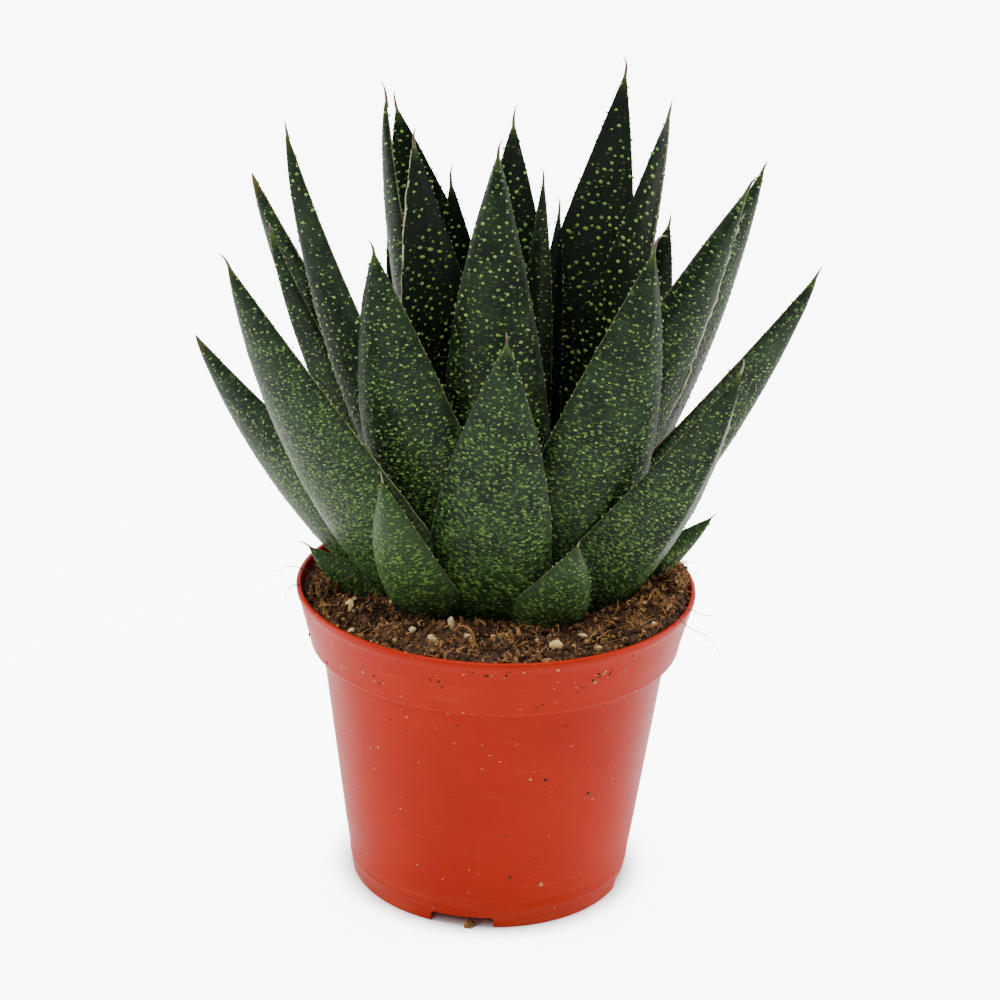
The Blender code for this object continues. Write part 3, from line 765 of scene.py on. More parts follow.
def leafMaterial(look):
    under = {"Subsurface Weight": 0.05, "Subsurface Radius": (0.0012, 0.003, 0.0008)}
    material, tree, shader = newMaterial("leafSkin", look["roughness"], 0.12, **under)
    names = ("along", "across", "backSide", "leafTone", "flecky", "dryTip", "rusty")
    along, across, backSide, tone, flecky, dryTip, rusty = (readAttribute(tree, name) for name in names)
    small = Arrow(tree, put(tree, "ShaderNodeAttribute", attribute_name="leafMm").outputs["Vector"]) * mm
    back, backMask = small.mottle(9.0, 0.35, look["backDark"], look["backLight"])
    front = small.mottle(11.0, 0.3, look["frontDark"], look["frontLight"])[0]
    colour = blendColour(tree, backSide, front, back)
    drift = small.noise(70.0, 3.0) - 0.5
    # painted shade: the lower leaf is blended towards the deep foot green, standing in for the shade where
    # the leaves crowd into the crown
    footShade = (along + drift * 0.3 + (tone - 0.5) * 0.08).ramp(0.42, 0.02)
    colour = blendColour(tree, footShade * (0.35 + 0.4 * backSide), colour, look["foot"])
    young = flecky - 0.85
    colour = blendColour(tree, young.clamped() * 2.1, colour, look["young"])
    # short crosswise flecks that crowd together towards the foot
    warped = small.stirred(420.0, 1.0, 0.0009)
    distance, luck = warped.mapped(Scale=(0.56, 1.0, 1.0)).cells(960.0, 0.95)
    climb = along - (flecky - 0.6) * 0.45
    share = (climb + drift * 0.35).ramp(1.0, 0.2, 0.34, 0.95)
    reach = (climb + drift * 0.2).ramp(0.9, 0.1, 0.34, 0.46)
    fleck = (1 - distance / reach).ramp(0.0, 0.45) * luck[0].under(share) * (1 - across.size() ** 10.0)
    dulled = luck[0] * 1.1 + drift - young.atLeast(0.0) * 1.6
    # and a dull brocade of the same kind behind them
    weave = warped.mapped(Scale=(0.5, 1.0, 1.0)).noise(1500.0, 1.0, Roughness=0.4)
    brocade = (weave + (climb + drift * 0.4).ramp(0.95, 0.1) * 0.13).ramp(0.62, 0.69)
    colour = blendColour(tree, brocade * (0.1 + 0.5 * backSide), colour, look["fleckDull"])
    fleckTone = blendColour(tree, dulled, look["fleck"], look["fleckDull"])
    colour = blendColour(tree, fleck * (0.5 + 0.4 * backSide), colour, fleckTone)
    # painted shade: each leaf is darker low down towards the crown, and the inner leaves are darker all
    # over
    inShade = (along + drift * 0.1 - young.clamped() * 0.4).ramp(0.27, 0.04, 0.0, 0.9)
    colour = blendColour(tree, inShade + (0.62 - flecky).atLeast(0.0) * 0.9, colour, look["frontDark"])
    # a pale or rusty line along the margins, and the tip and the foot in their own tones
    edgeLine = (across.size() + drift * 0.004 + rusty * 0.003).ramp(0.9935, 0.9975) * along.ramp(0.08, 0.3)
    rust = (tone * 1.3 + along * 0.6 + drift + rusty).ramp(0.95, 1.45)
    edgeTone = blendColour(tree, rust, look["margin"], look["rust"])
    colour = blendColour(tree, edgeLine * 0.75, colour, edgeTone)
    dryShare = (along + drift * 0.12).ramp(0.93, 1.0) * (dryTip - 0.5).clamped()
    colour = blendColour(tree, (along + drift * 0.01).ramp(0.95, 0.995) * 0.8, colour, look["tip"])
    colour = blendColour(tree, dryShare, colour, look["dry"])
    colour = blendColour(tree, along.ramp(0.05, 0.0) * 0.8, colour, look["footPale"])
    uneven = backMask * 0.08 + drift * 0.12 + fleck * 0.08 + (1 - backSide) * 0.03
    streaks = small.mapped(Scale=(1.0, 0.05, 1.0)).relief(1.1, 0.09)
    skin = small.relief(0.55, 0.03) + small.relief(3.4, 0.16) + streaks
    dress(shader, colour, look["roughness"] + uneven, skin + fleck * 0.0001 + brocade * 0.00004)
    return material


def leafInputs(values, seed):
    foot, tip, width, bow, faces, more = values
    foot, tip = Vector(foot), Vector(tip)
    chord = (tip - foot).normalized()
    out = Vector((tip.x - foot.x, tip.y - foot.y, 0))
    out = (out - out.dot(chord) * chord).normalized()
    bend = (foot + tip) / 2 + bow * out + more.get("sway", 0) * chord.cross(out)
    turn = math.radians(faces)
    # what a leaf has no value of its own for comes from the tree
    own = {name: value for name, value in more.items() if name != "sway"}
    ends = {"Foot": tuple(foot * mm), "Bend": tuple(bend * mm), "Tip": tuple(tip * mm)}
    return {**ends, "Facing": (math.cos(turn), math.sin(turn), 0.0), "Width": width, "Seed": seed, **own}


def makeLeaves(table, shape, look):
    tree, material, made = buildLeafBlade(shape), leafMaterial(look), {}
    for seed, (name, values) in enumerate(table.items()):
        start = addObject(name + "Start", bpy.data.meshes.new(name + "Start"), helperBits)
        flecks = next(share for tier, share in shape["flecks"].items() if name.startswith(tier))
        mesh = grown(start, tree, name, Material=material, Flecks=flecks, **leafInputs(values, seed + 1.0))
        discard(start)
        leaf = addObject(name, mesh)
        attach(leaf, "root")
        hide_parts("gasteria")
        made[name] = leaf
    return made


leaves = makeLeaves(leafTable, leafShape, leafLook)
print("leaves:", len(leaves), "with", sum(len(leaf.data.polygons) for leaf in leaves.values()), "faces")


dotShape = {
    "tiers": {"heart": 4, "inner": 11, "middle": 23, "outer": 37, "basal": 51},
    "boldness": {"heart": 0.75, "inner": 1.22, "middle": 1.05, "outer": 0.86, "basal": 0.72},
    "fine": {"Spacing": 1.75, "Radius": 0.3, "From": 0.1, "To": 0.82, "Bold": 0.0},
    "bold": {"Spacing": 2.0, "Radius": 0.5, "From": 0.3, "To": 0.985, "Bold": 1.0},
    "teeth": {"Gap": 2.1, "Radius": 0.27}, "toothed": (0.14, 0.975),
}
dotLook = {
    "fresh": (0.035, 0.095, 0.016, 1), "pale": (0.20, 0.345, 0.06, 1), "tooth": (0.20, 0.25, 0.11, 1),
    "roughness": 0.38,
}


def joined(name, objects):
    # one mesh out of several, with their attributes, to spread things over
    work = bmesh.new()
    for obj in objects:
        work.from_mesh(obj.data)
    return addObject(name, meshFrom(work, name), helperBits)


def scattered(tree, given, spacing, most, share, seed):
    # points on the faces that keep their distance from each other
    return put(tree, "GeometryNodeDistributePointsOnFaces", {
        "Mesh": given["Geometry"], "Distance Min": spacing * mm, "Density Max": most / (spacing * spacing),
        "Density Factor": share, "Seed": seed,
    }, distribute_method="POISSON").outputs


def placed(tree, points, shapes, **settings):
    inputs = {"Points": points, "Instance": shapes, **settings}
    return grow(tree, "InstanceOnPoints", inputs)


def buildRaisedDots():
    # flattened domes on the leaf skin, drawn out crosswise and crowded near the foot
    tree, given, fields = newGrowth("raisedDots", {
        "Spacing": 2.0, "Radius": 0.5, "From": 0.0, "To": 1.0, "Bold": 0.0, "Seed": 1,
    })
    spacing, radius, low, high, bold, seed = fields
    along, across, backSide, flecky = (
        namedField(tree, name) for name in ("along", "across", "backSide", "flecky"))
    spot = pointSpot(tree)
    patch = spot.noise(110.0, 1.0).ramp(0.32, 0.58, 0.55 - 0.1 * bold, 1.0)
    last = high + (flecky - 0.6) * 0.3 * (1 - bold)
    ends = along.ramp(last - 0.35 * (1 - bold) - 0.02, last, 1.0, 0.0)
    shown = across.size().under(0.93) * backSide.atLeast(0.35 + 0.65 * bold)
    share = along.ramp(low, low + 0.15) * ends * shown * patch
    points = scattered(tree, given, spacing, 1.6e6, share, seed)
    tone = chance(tree, 0.0, 1.0, seed + 5.0) * (0.6 + 0.4 * bold)
    kept = keepAttribute(tree, points["Points"], "dotTone", tone)
    size = radius * chance(tree, 0.62, 1.22, seed + 1.0) * (1 - along * 0.22 * bold)
    size = size * (0.9 + 0.2 * (1 - backSide) * bold)
    luck = chance(tree, 0.0, 1.0, seed + 2.0)
    stretch = 1 + (1 - bold) * luck * luck * 1.5 + bold * luck * luck * 0.8
    wide = vectorOf(tree, size * stretch, size * (1.06 - stretch * 0.06), size * (0.46 + 0.14 * bold)) * mm
    # each lies on the skin with its long axis roughly across the leaf
    shake = chance(tree, (-0.35, -0.35, -0.35), (0.35, 0.35, 0.35), seed + 3.0, "FLOAT_VECTOR")
    tilt = namedField(tree, "sideways", "FLOAT_VECTOR") + shake
    align = "FunctionNodeAlignRotationToVector"
    upright = put(tree, align, {"Vector": points["Normal"]}, axis="Z").outputs[0]
    turnedTo = put(tree, align, {"Rotation": upright, "Vector": tilt}, axis="X", pivot_axis="Z").outputs[0]
    ball = grow(tree, "MeshIcoSphere", {"Radius": 1.0, "Subdivisions": 1})
    dome = grow(tree, "Transform", {"Geometry": ball, "Rotation": (math.radians(31.7), 0.0, 0.0)})
    bead = grow(tree, "MeshUVSphere", {"Radius": 1.0, "Segments": 6, "Rings": 2})
    either = {"Switch": given["Bold"], "False": bead, "True": dome}
    dot = grow(tree, "Switch", either, input_type="GEOMETRY")
    dot = keepAttribute(tree, dot, "crown", spot.parts()[2])
    return endGrowth(tree, given, placed(tree, kept, dot, Rotation=turnedTo, Scale=wide))


def buildMarginTeeth():
    # tiny pale knobs in a row along each leaf margin
    tree, given, (gap, radius, seed) = newGrowth("marginTeeth", {"Gap": 2.0, "Radius": 0.3, "Seed": 1})
    lines = grow(tree, "MeshToCurve", {"Mesh": given["Geometry"]})
    spaced = grow(tree, "ResampleCurve", {"Curve": lines, "Length": gap * mm}, mode="LENGTH")
    points = grow(tree, "CurveToPoints", {"Curve": spaced}, mode="EVALUATED")
    often = namedField(tree, "along").ramp(0.2, 0.6, 0.1, 0.85)
    present = (chance(tree, 0.0, 1.0, seed) - often).under(0.0)
    missing = {"Geometry": points, "Selection": 1 - present}
    kept = grow(tree, "DeleteGeometry", missing, domain="POINT")
    reach = (0.00035, 0.00035, 0.0006)
    shake = chance(tree, tuple(-most for most in reach), reach, seed + 1.0, "FLOAT_VECTOR")
    shaken = grow(tree, "SetPosition", {"Geometry": kept, "Offset": shake})
    shaken = keepAttribute(tree, shaken, "dotTone", chance(tree, 0.0, 1.0, seed + 2.0))
    knob = grow(tree, "MeshUVSphere", {"Radius": 1.0, "Segments": 5, "Rings": 3})
    size = radius * chance(tree, 0.6, 1.25, seed + 3.0) * mm
    tall = vectorOf(tree, size, size, size * 1.3)
    return endGrowth(tree, given, placed(tree, shaken, keepAttribute(tree, knob, "crown", 0.7), Scale=tall))


def dotMaterial(name, look, dark, light):
    under = {"Subsurface Weight": 0.12, "Subsurface Radius": (0.0008, 0.0012, 0.0004)}
    material, tree, shader = newMaterial(name, look["roughness"], 0.5, **under)
    spot = objectSpot(tree)
    grain = spot.noise(900.0)
    mix = readAttribute(tree, "dotTone") * 0.55 + readAttribute(tree, "crown").clamped() * 0.6
    colour = blendColour(tree, (mix + (grain - 0.5) * 0.7).clamped(), dark, light)
    dress(shader, colour, look["roughness"] + grain * 0.12, spot.relief(0.4, 0.03))
    return material


def marginRows(leaf):
    # both margins in order from the foot, as each point's share of the length and its place
    mesh = leaf.data
    across, along = markOf(mesh, "across"), markOf(mesh, "along")
    rows = []
    for side in (-1, 1):
        rim = sorted(np.flatnonzero(np.abs(across - side) < 0.0005), key=lambda i: along[i])
        rows.append([(float(along[i]), mesh.vertices[i].co.copy()) for i in rim])
    return rows


def marginLines(name, objects, low, high):
    # the two margins of each leaf as plain edges with their share of the leaf's length
    points, edges, shares = [], [], []
    for row in [row for obj in objects for row in marginRows(obj)]:
        first = len(points)
        shares += [share for share, spot in row if low < share < high]
        points += [tuple(spot) for share, spot in row if low < share < high]
        edges += [(k, k + 1) for k in range(first, len(points) - 1)]
    mesh = meshOf(name, points, [], edges=edges)
    markMesh(mesh, "along", shares)
    return addObject(name, mesh, helperBits)


def spread(base, tree, name, **values):
    # what a tree grows on a helper object becomes a piece, and the helper goes
    mesh = grown(base, tree, name, **values)
    discard(base)
    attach(addObject(name, mesh), "root")
    return mesh


def makeDots(shape, look):
    dots, teeth = buildRaisedDots(), buildMarginTeeth()
    skin = dotMaterial("dotSkin", look, look["fresh"], look["pale"])
    toothSkin = dotMaterial("toothSkin", look, look["pale"], look["tooth"])
    total = 0
    for tier, seed in shape["tiers"].items():
        group = [leaf for name, leaf in leaves.items() if name.startswith(tier)]
        for kind, growth, boldness in (("fine", 0, 1), ("bold", 1, shape["boldness"][tier])):
            radius = shape[kind]["Radius"] * boldness
            values = {**shape[kind], "Radius": radius, "Seed": seed + growth, "Material": skin}
            mesh = spread(joined(tier + "Ground", group), dots, tier + kind.title() + "Dots", **values)
            total += len(mesh.polygons)
        lines = marginLines(tier + "Lines", group, *shape["toothed"])
        mesh = spread(lines, teeth, tier + "Teeth", Seed=seed, Material=toothSkin, **shape["teeth"])
        total += len(mesh.polygons)
    return total


print("dots and margin teeth:", makeDots(dotShape, dotLook), "faces")


awnShape = {
    "length": 4.3, "sunk": 2.6, "radius": 0.5, "tipRadius": 0.07, "small": 0.72, "sides": 8, "rings": 14,
    "curl": {"middleLeaf04": 2.8, "middleLeaf05": 1.5, "outerLeaf03": 0.4, "outerLeaf04": 1.5},
    "long": {"outerLeaf04": 1.9, "middleLeaf04": 1.5, "middleLeaf05": 0.9}, "pale": ("outerLeaf04",),
}
awnLook = {
    "foot": (0.055, 0.075, 0.016, 1), "shaft": (0.085, 0.026, 0.016, 1), "paleShaft": (0.20, 0.20, 0.08, 1),
    "tip": (0.25, 0.17, 0.13, 1), "dry": (0.58, 0.56, 0.40, 1), "dryDark": (0.24, 0.25, 0.12, 1),
    "roughness": 0.5,
}


def evenShares(count):
    return [i / (count - 1) for i in range(count)]


def ringFaces(rings, count):
    # the faces between closed rings that have the same number of points
    starts = [(ring * count, step) for ring in range(rings - 1) for step in range(count)]
    pairs = [(first + step, first + (step + 1) % count) for first, step in starts]
    return [(a, b, b + count, a + count) for a, b in pairs]


def taperedTube(path, radii, sides):
    # a closed tube along points, with a share of its length kept for the material
    path = [Vector(p) for p in path]
    points = []
    heading = (path[1] - path[0]).normalized()
    across = heading.orthogonal().normalized()
    for index, point in enumerate(path):
        ahead = path[min(index + 1, len(path) - 1)] - path[max(index - 1, 0)]
        if ahead.length > 0:
            heading = ahead.normalized()
        across = (across - across.dot(heading) * heading).normalized()
        other = heading.cross(across)
        for side in range(sides):
            turn = 2 * math.pi * side / sides
            points.append(point + (across * math.cos(turn) + other * math.sin(turn)) * radii[index])
    faces = ringFaces(len(path), sides)
    faces.append(tuple(range(sides))[::-1])
    faces.append(tuple(range(len(points) - sides, len(points))))
    return points, faces, [share for share in evenShares(len(path)) for side in range(sides)]


def tubesObject(name, tubes, material):
    points, faces, shares = [], [], []
    for tubePoints, tubeFaces, along in tubes:
        faces += [tuple(i + len(points) for i in face) for face in tubeFaces]
        points += tubePoints
        shares += along
    mesh = meshOf(name, points, faces, material)
    markMesh(mesh, "along", shares)
    softShade(mesh)
    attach(addObject(name, mesh), "root")


def awnPath(shape, values, curl, length, luck):
    inputs = leafInputs(values, 0.0)
    tip, bend, facing = (Vector(inputs[name]) for name in ("Tip", "Bend", "Facing"))
    heading = (tip - bend).normalized()
    lean = (facing - facing.dot(heading) * heading).normalized() * luck.uniform(-0.6, 0.9)
    lean += heading.cross(facing).normalized() * luck.uniform(-0.9, 0.9)
    lean.normalize()
    path, point = [], tip - heading * shape["sunk"] * mm
    step = (length + shape["sunk"]) * mm / shape["rings"]
    for share in evenShares(shape["rings"] + 1):
        path.append(point.copy())
        turn = curl * max(0.0, share - 0.3) ** 1.3
        point += (heading * math.cos(turn) + lean * math.sin(turn)) * step
    return path


def awnMaterial(name, look, shaft):
    material, tree, shader = newMaterial(name, look["roughness"], 0.4)
    along, spot = readAttribute(tree, "along"), objectSpot(tree)
    grain = spot.noise(1500.0, 3.0) - 0.5
    colour = blendColour(tree, (along + grain * 0.2).ramp(0.2, 0.42), look["foot"], shaft)
    colour = blendColour(tree, along.ramp(0.55, 0.85), colour, look["tip"])
    dress(shader, colour, look["roughness"] + grain * 0.3, spot.relief(0.3, 0.05))
    return material


def makeAwns(shape, look):
    luck = random.Random(29)
    tubes, paleTubes = [], []
    for name, values in leafTable.items():
        if "Blunt" in values[-1]:
            continue
        big = shape["small"] if name.startswith(("basal", "heart")) else 1.0
        length = shape["length"] * luck.uniform(0.6, 1.25) * big
        curl = shape["curl"].get(name, luck.uniform(0.5, 1.7))
        path = awnPath(shape, values, curl, length * shape["long"].get(name, 1.0), luck)
        taper = [(1 - s) ** 0.8 for s in evenShares(len(path))]
        radii = [shape["radius"] * big * mm * share + shape["tipRadius"] * mm for share in taper]
        chosen = paleTubes if name.startswith("basal") or name in shape["pale"] else tubes
        chosen.append(taperedTube(path, radii, shape["sides"]))
    tubesObject("basalAwns", paleTubes, awnMaterial("paleAwnSkin", look, look["paleShaft"]))
    tubesObject("leafAwns", tubes, awnMaterial("awnSkin", look, look["shaft"]))


dryShape = {
    "loopSteps": 10, "loopDrop": 0.06, "loopFrom": 4, "sides": 6,
    "edges": [
        {"leaf": "middleLeaf05", "from": 0.3, "to": 0.95, "radius": 0.42, "wave": 0.6, "loop": 1.1},
        {"leaf": "outerLeaf04", "from": 0.3, "to": 0.97, "radius": 0.26, "wave": 0.2},
        {"leaf": "innerLeaf04", "from": 0.45, "to": 0.98, "radius": 0.24, "wave": 0.25, "left": True},
        {"leaf": "middleLeaf03", "from": 0.3, "to": 0.97, "radius": 0.22, "wave": 0.12, "left": True},
    ],
}


def dryMaterial(look):
    material, tree, shader = newMaterial("dryMargin", look["roughness"], 0.3)
    spot = objectSpot(tree)
    tone, mask = spot.mottle(2.5, 0.5, look["dryDark"], look["dry"])
    dress(shader, tone, mask.evenRamp(0, 1, 0.45, 0.65), spot.relief(0.4, 0.08))
    return material


def dryPath(shape, edge, luck):
    # along the margin that lies further left, or right, and a little off it
    rows = marginRows(leaves[edge["leaf"]])
    rows.sort(key=lambda row: np.mean([spot.x for share, spot in row]))
    rim = [(t, spot) for t, spot in rows[0 if edge.get("left") else 1] if edge["from"] < t < edge["to"]]
    path, drift = [], Vector((0, 0, 0))
    for index, (t, spot) in enumerate(rim):
        shake = Vector((luck.uniform(-1, 1), luck.uniform(-1, 1), luck.uniform(-1, 1)))
        drift = drift * 0.35 + shake * edge["wave"] * mm * (0.3 + 0.7 * t)
        path.append(spot + drift)
        if "loop" in edge and index == len(rim) - shape["loopFrom"]:
            # a small loop where the dried edge has curled off
            up = (rim[index + 1][1] - spot).normalized()
            out = up.cross(Vector((0, 1, 0))).normalized()
            for step in range(1, shape["loopSteps"]):
                turn = 2 * math.pi * step / shape["loopSteps"]
                circle = (out * (1 - math.cos(turn)) + up * math.sin(turn)) * edge["loop"] * mm
                path.append(spot + drift + circle + Vector((0, -shape["loopDrop"] * step * mm, 0)))
    return path


def makeDryMargins(shape, look):
    luck, tubes = random.Random(8), []
    for edge in shape["edges"]:
        path = dryPath(shape, edge, luck)
        swell = [math.sin(math.pi * (0.08 + 0.86 * s)) ** 0.6 for s in evenShares(len(path))]
        tubes.append(taperedTube(path, [edge["radius"] * mm * share for share in swell], shape["sides"]))
    tubesObject("dryMargins", tubes, dryMaterial(look))


makeAwns(awnShape, awnLook)
makeDryMargins(dryShape, awnLook)
print("awns and dried margins are on the leaves")


mixShape = {
    "top": 92.8, "tilt": 0.9, "lump": 0.7, "wellFloor": 79.0, "wellInner": 13.0, "wellOuter": 23.0,
    "turns": 200, "rough": 1.0, "heap": 3.1, "rimGap": 57.7, "slack": 0.4,
    "tangles": [
        (44.0, -13.0, 3.4), (52.5, -4.0, 4.0), (53.0, 6.0, 3.8), (49.0, -20.0, 3.0), (41.0, -33.0, 3.0),
        (2.5, -43.5, 3.0), (30.0, -41.0, 2.6), (-29.0, -38.0, 2.4), (-50.0, -6.0, 2.8),
        (-17.0, -48.0, 2.2), (8.0, 48.0, 3.0), (-40.0, 33.0, 3.0),
    ],
}
mixLook = {
    "dark": (0.007, 0.0035, 0.002, 1), "light": (0.12, 0.052, 0.018, 1),
    "bark": (0.17, 0.065, 0.020, 1), "barkPale": (0.36, 0.175, 0.060, 1),
    "fibre": (0.11, 0.04, 0.014, 1), "fibrePale": (0.50, 0.27, 0.085, 1),
    "grit": (0.62, 0.52, 0.33, 1), "gritWarm": (0.62, 0.42, 0.15, 1),
    "hair": (0.10, 0.065, 0.045, 1), "roughness": 0.88,
}


def limited(value, low=0, high=1):
    return min(high, max(low, value))


def mixHeight(shape, x, y):
    # lumpy ground in millimetres, heaped on the right, with a well round the crown
    radius, rim = math.hypot(x, y), potShape["rimRadius"]
    lumps = math.sin(x * 0.31 + 1.3) * math.cos(y * 0.27 - 0.4) + 0.6 * math.sin(x * 0.53 - y * 0.47)
    ground = shape["top"] + shape["tilt"] * x / rim + shape["lump"] * lumps * min(1, (rim - radius) / 4)
    well = limited((radius - shape["wellInner"]) / (shape["wellOuter"] - shape["wellInner"]))
    height = shape["wellFloor"] + (ground - shape["wellFloor"]) * well**0.7
    coarse = noise.fractal(Vector((x * 0.16, y * 0.16, 3.1)), 0.9, 2.2, 3)
    fine = noise.fractal(Vector((x * 0.55, y * 0.55, 8.4)), 0.8, 2.1, 3)
    calm = limited((57.6 - radius) / 3, 0.5)
    heap = shape["heap"] * limited((x - 22) / 24) * limited((y + 56) / 18)
    heap *= min(1, 0.15 + (shape["rimGap"] - radius) / 4.5)
    return height + heap * well + shape["rough"] * calm * (1.1 * coarse + 0.75 * fine)


def groundSide(shape):
    # the sides and the underside of the mix, close to the inside of the pot
    ledge, floor = potShape["height"] - potShape["rimBand"], potShape["plateTop"] + 0.35
    slack = shape["slack"]
    narrow = potInside(potShape, ledge + 0.9) - slack
    low, high = potShape["plateTop"] + 1.2, shape["top"] - shape["tilt"] - 1.4
    side = [(potInside(potShape, 6.0) - 1.2, floor), (potInside(potShape, low) - slack, low)]
    side += [(narrow, ledge + 1.0), (narrow + 0.7, ledge + 1.95)]
    return side + [(potInside(potShape, z) - slack, z) for z in (ledge + 2.1, high)], floor


def makeGround(shape, material):
    side, floor = groundSide(shape)
    radii = list(np.linspace(shape["rimGap"], 24.0, 38)) + list(np.linspace(23.2, 3.0, 10))
    rings, count = len(side) + len(radii), shape["turns"]
    turns = np.linspace(0, 2 * math.pi, count, endpoint=False)
    points = [(radius * math.cos(turn), radius * math.sin(turn), z) for radius, z in side for turn in turns]
    for radius in radii:
        for turn in turns:
            x, y = radius * math.cos(turn), radius * math.sin(turn)
            points.append((x, y, mixHeight(shape, x, y)))
    points += [(0, 0, floor), (0, 0, mixHeight(shape, 0, 0))]
    faces, last = ringFaces(rings, count), (rings - 1) * count
    top = [float(ring >= len(side)) for ring in range(rings - 1) for step in range(count)]
    for step in range(count):
        following = (step + 1) % count
        faces += [(step, len(points) - 2, following), (last + step, last + following, len(points) - 1)]
        top += [0.0, 1.0]
    mesh = meshOf("pottingMix", [(x * mm, y * mm, z * mm) for x, y, z in points], faces, material)
    markMesh(mesh, "topFace", top, "FACE")
    softShade(mesh)
    ground = addObject("pottingMix", mesh)
    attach(ground, "root")
    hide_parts("potting_mix")
    return ground


def lumpShapes(name, count, stretch, rough, seed, plain=False):
    # a small set of uneven crumbs to scatter copies of
    kept = newCollection(name)
    luck = random.Random(seed)
    for index in range(count):
        work = bmesh.new()
        if plain:
            bmesh.ops.create_icosphere(work, subdivisions=1, radius=1.0)
        else:
            bmesh.ops.create_cube(work, size=1.0)
            bmesh.ops.subdivide_edges(work, edges=work.edges[:], cuts=1, use_grid_fill=True)
        shift = Vector((luck.uniform(0, 50), luck.uniform(0, 50), luck.uniform(0, 50)))
        for vert in work.verts:
            way = vert.co.normalized()
            reach = 0.5 * (1 + rough * noise.noise(way * 1.7 + shift) + rough * 0.6 * luck.uniform(-1, 1))
            vert.co = Vector((way.x * stretch[0], way.y * stretch[1], way.z * stretch[2])) * reach
        addObject(f"{name}{index}", meshFrom(work, f"{name}{index}"), kept)
    return kept


def strandShapes(name, count, bend, seed):
    # thin bent strands, one unit long
    kept = newCollection(name)
    luck = random.Random(seed)
    shares = evenShares(8)
    for index in range(count):
        path, point, way = [], Vector((-0.5, 0, 0)), Vector((1, 0, 0))
        swing = luck.uniform(-bend, bend)
        for share in shares:
            path.append(point.copy())
            swing += luck.uniform(-bend, bend) * 0.5
            way.rotate(Matrix.Rotation(swing * 0.4, 3, "Z"))
            way.rotate(Matrix.Rotation(luck.uniform(-bend, bend) * 0.3, 3, "Y"))
            point += way / 7
        width = luck.uniform(0.022, 0.045)
        radii = [width * (0.35 + 0.65 * math.sin(math.pi * (0.12 + 0.8 * share))) for share in shares]
        points, faces, along = taperedTube(path, radii, 3)
        addObject(f"{name}{index}", meshOf(f"{name}{index}", points, faces), kept)
    return kept


def buildScatter():
    # copies of a few shapes spread over the ground, turned and sized at random
    tree, given, fields = newGrowth("scatterOnGround", {
        "Shapes": "Collection", "Spacing": 2.0, "Share": 1.0, "Small": 1.0, "Large": 3.0,
        "Lift": 0.2, "Tilt": 0.5, "Reach": 56.0, "Seed": 1,
    })
    kinds, spacing, share, small, large, lift, tilt, reach, seed = fields
    spot = pointSpot(tree)
    x, y = spot.parts()[:2]
    radius = (x ** 2.0 + y ** 2.0) ** 0.5
    # in patches, close together near the rim and none under the crown
    patch = spot.noise(75.0).ramp(0.3, 0.62, 0.35, 1.0).atLeast(radius.ramp(0.048, 0.053))
    allowed = radius.under(reach * mm) * radius.over(0.019) * namedField(tree, "topFace").over(0.5) * share
    points = scattered(tree, given, spacing, 1.5e6, allowed * patch, seed)["Points"]
    marked = keepAttribute(tree, points, "bitTone", chance(tree, 0.0, 1.0, seed + 4.0))
    size = (small + (large - small) * chance(tree, 0.0, 1.0, seed + 1.0) ** 2.2) * mm
    lean = [chance(tree, -1.0, 1.0, seed + step) * tilt for step in (6.0, 7.0)]
    turn = vectorOf(tree, *lean, chance(tree, 0.0, 6.2832, seed + 9.0))
    separate = {"Collection": kinds, "Separate Children": True, "Reset Children": True}
    shapes = grow(tree, "CollectionInfo", separate)
    upward = {"Geometry": marked, "Offset": vectorOf(tree, z=lift * size)}
    raised = grow(tree, "SetPosition", upward)
    choice = {"Pick Instance": True, "Instance Index": chance(tree, 0, 60, seed + 2.0, "INT")}
    copies = placed(tree, raised, shapes, Rotation=turn, Scale=vectorOf(tree, size, size, size), **choice)
    return endGrowth(tree, given, copies, soft=False)


def earthMaterial(name, dark, light, look, grainSize=1.2, spread=0.5, depth=0.25):
    material, tree, shader = newMaterial(name, look["roughness"], 0.25)
    spot = objectSpot(tree)
    body, mask = spot.mottle(grainSize * 3, 0.9, dark, light)
    own = blendColour(tree, readAttribute(tree, "bitTone"), dark, light)
    skin = spot.relief(grainSize, depth) + spot.relief(grainSize * 0.3, depth * 0.4)
    dress(shader, blendColour(tree, spread, body, own), look["roughness"] - mask * 0.15, skin)
    return material


def addBall(work, centre, radius, subdivisions):
    # one more ball in a shape, and its own points
    first, place = len(work.verts), Matrix.Translation(centre)
    bmesh.ops.create_icosphere(work, subdivisions=subdivisions, radius=radius, matrix=place)
    work.verts.ensure_lookup_table()
    return work.verts[first:]


def makeTangles(shape, material):
    # lumps of matted fibre that stand up from the ground
    work, luck = bmesh.new(), random.Random(21)
    for x, y, size in shape["tangles"]:
        centre = Vector((x, y, mixHeight(shape, x, y) + size * 0.15)) * mm
        shift = Vector((luck.uniform(0, 30), luck.uniform(0, 30), 0))
        for vert in addBall(work, centre, size * mm, 3):
            way = vert.co - centre
            vert.co += way * 0.75 * noise.fractal(way * 420 + shift, 0.9, 2.1, 3)
            vert.co.z -= way.z * 0.3
    mesh = meshFrom(work, "tangleCores", material)
    markMesh(mesh, "topFace", [1.0] * len(mesh.polygons), "FACE")
    softShade(mesh)
    cores = addObject("tangleCores", mesh)
    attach(cores, "root")
    return cores


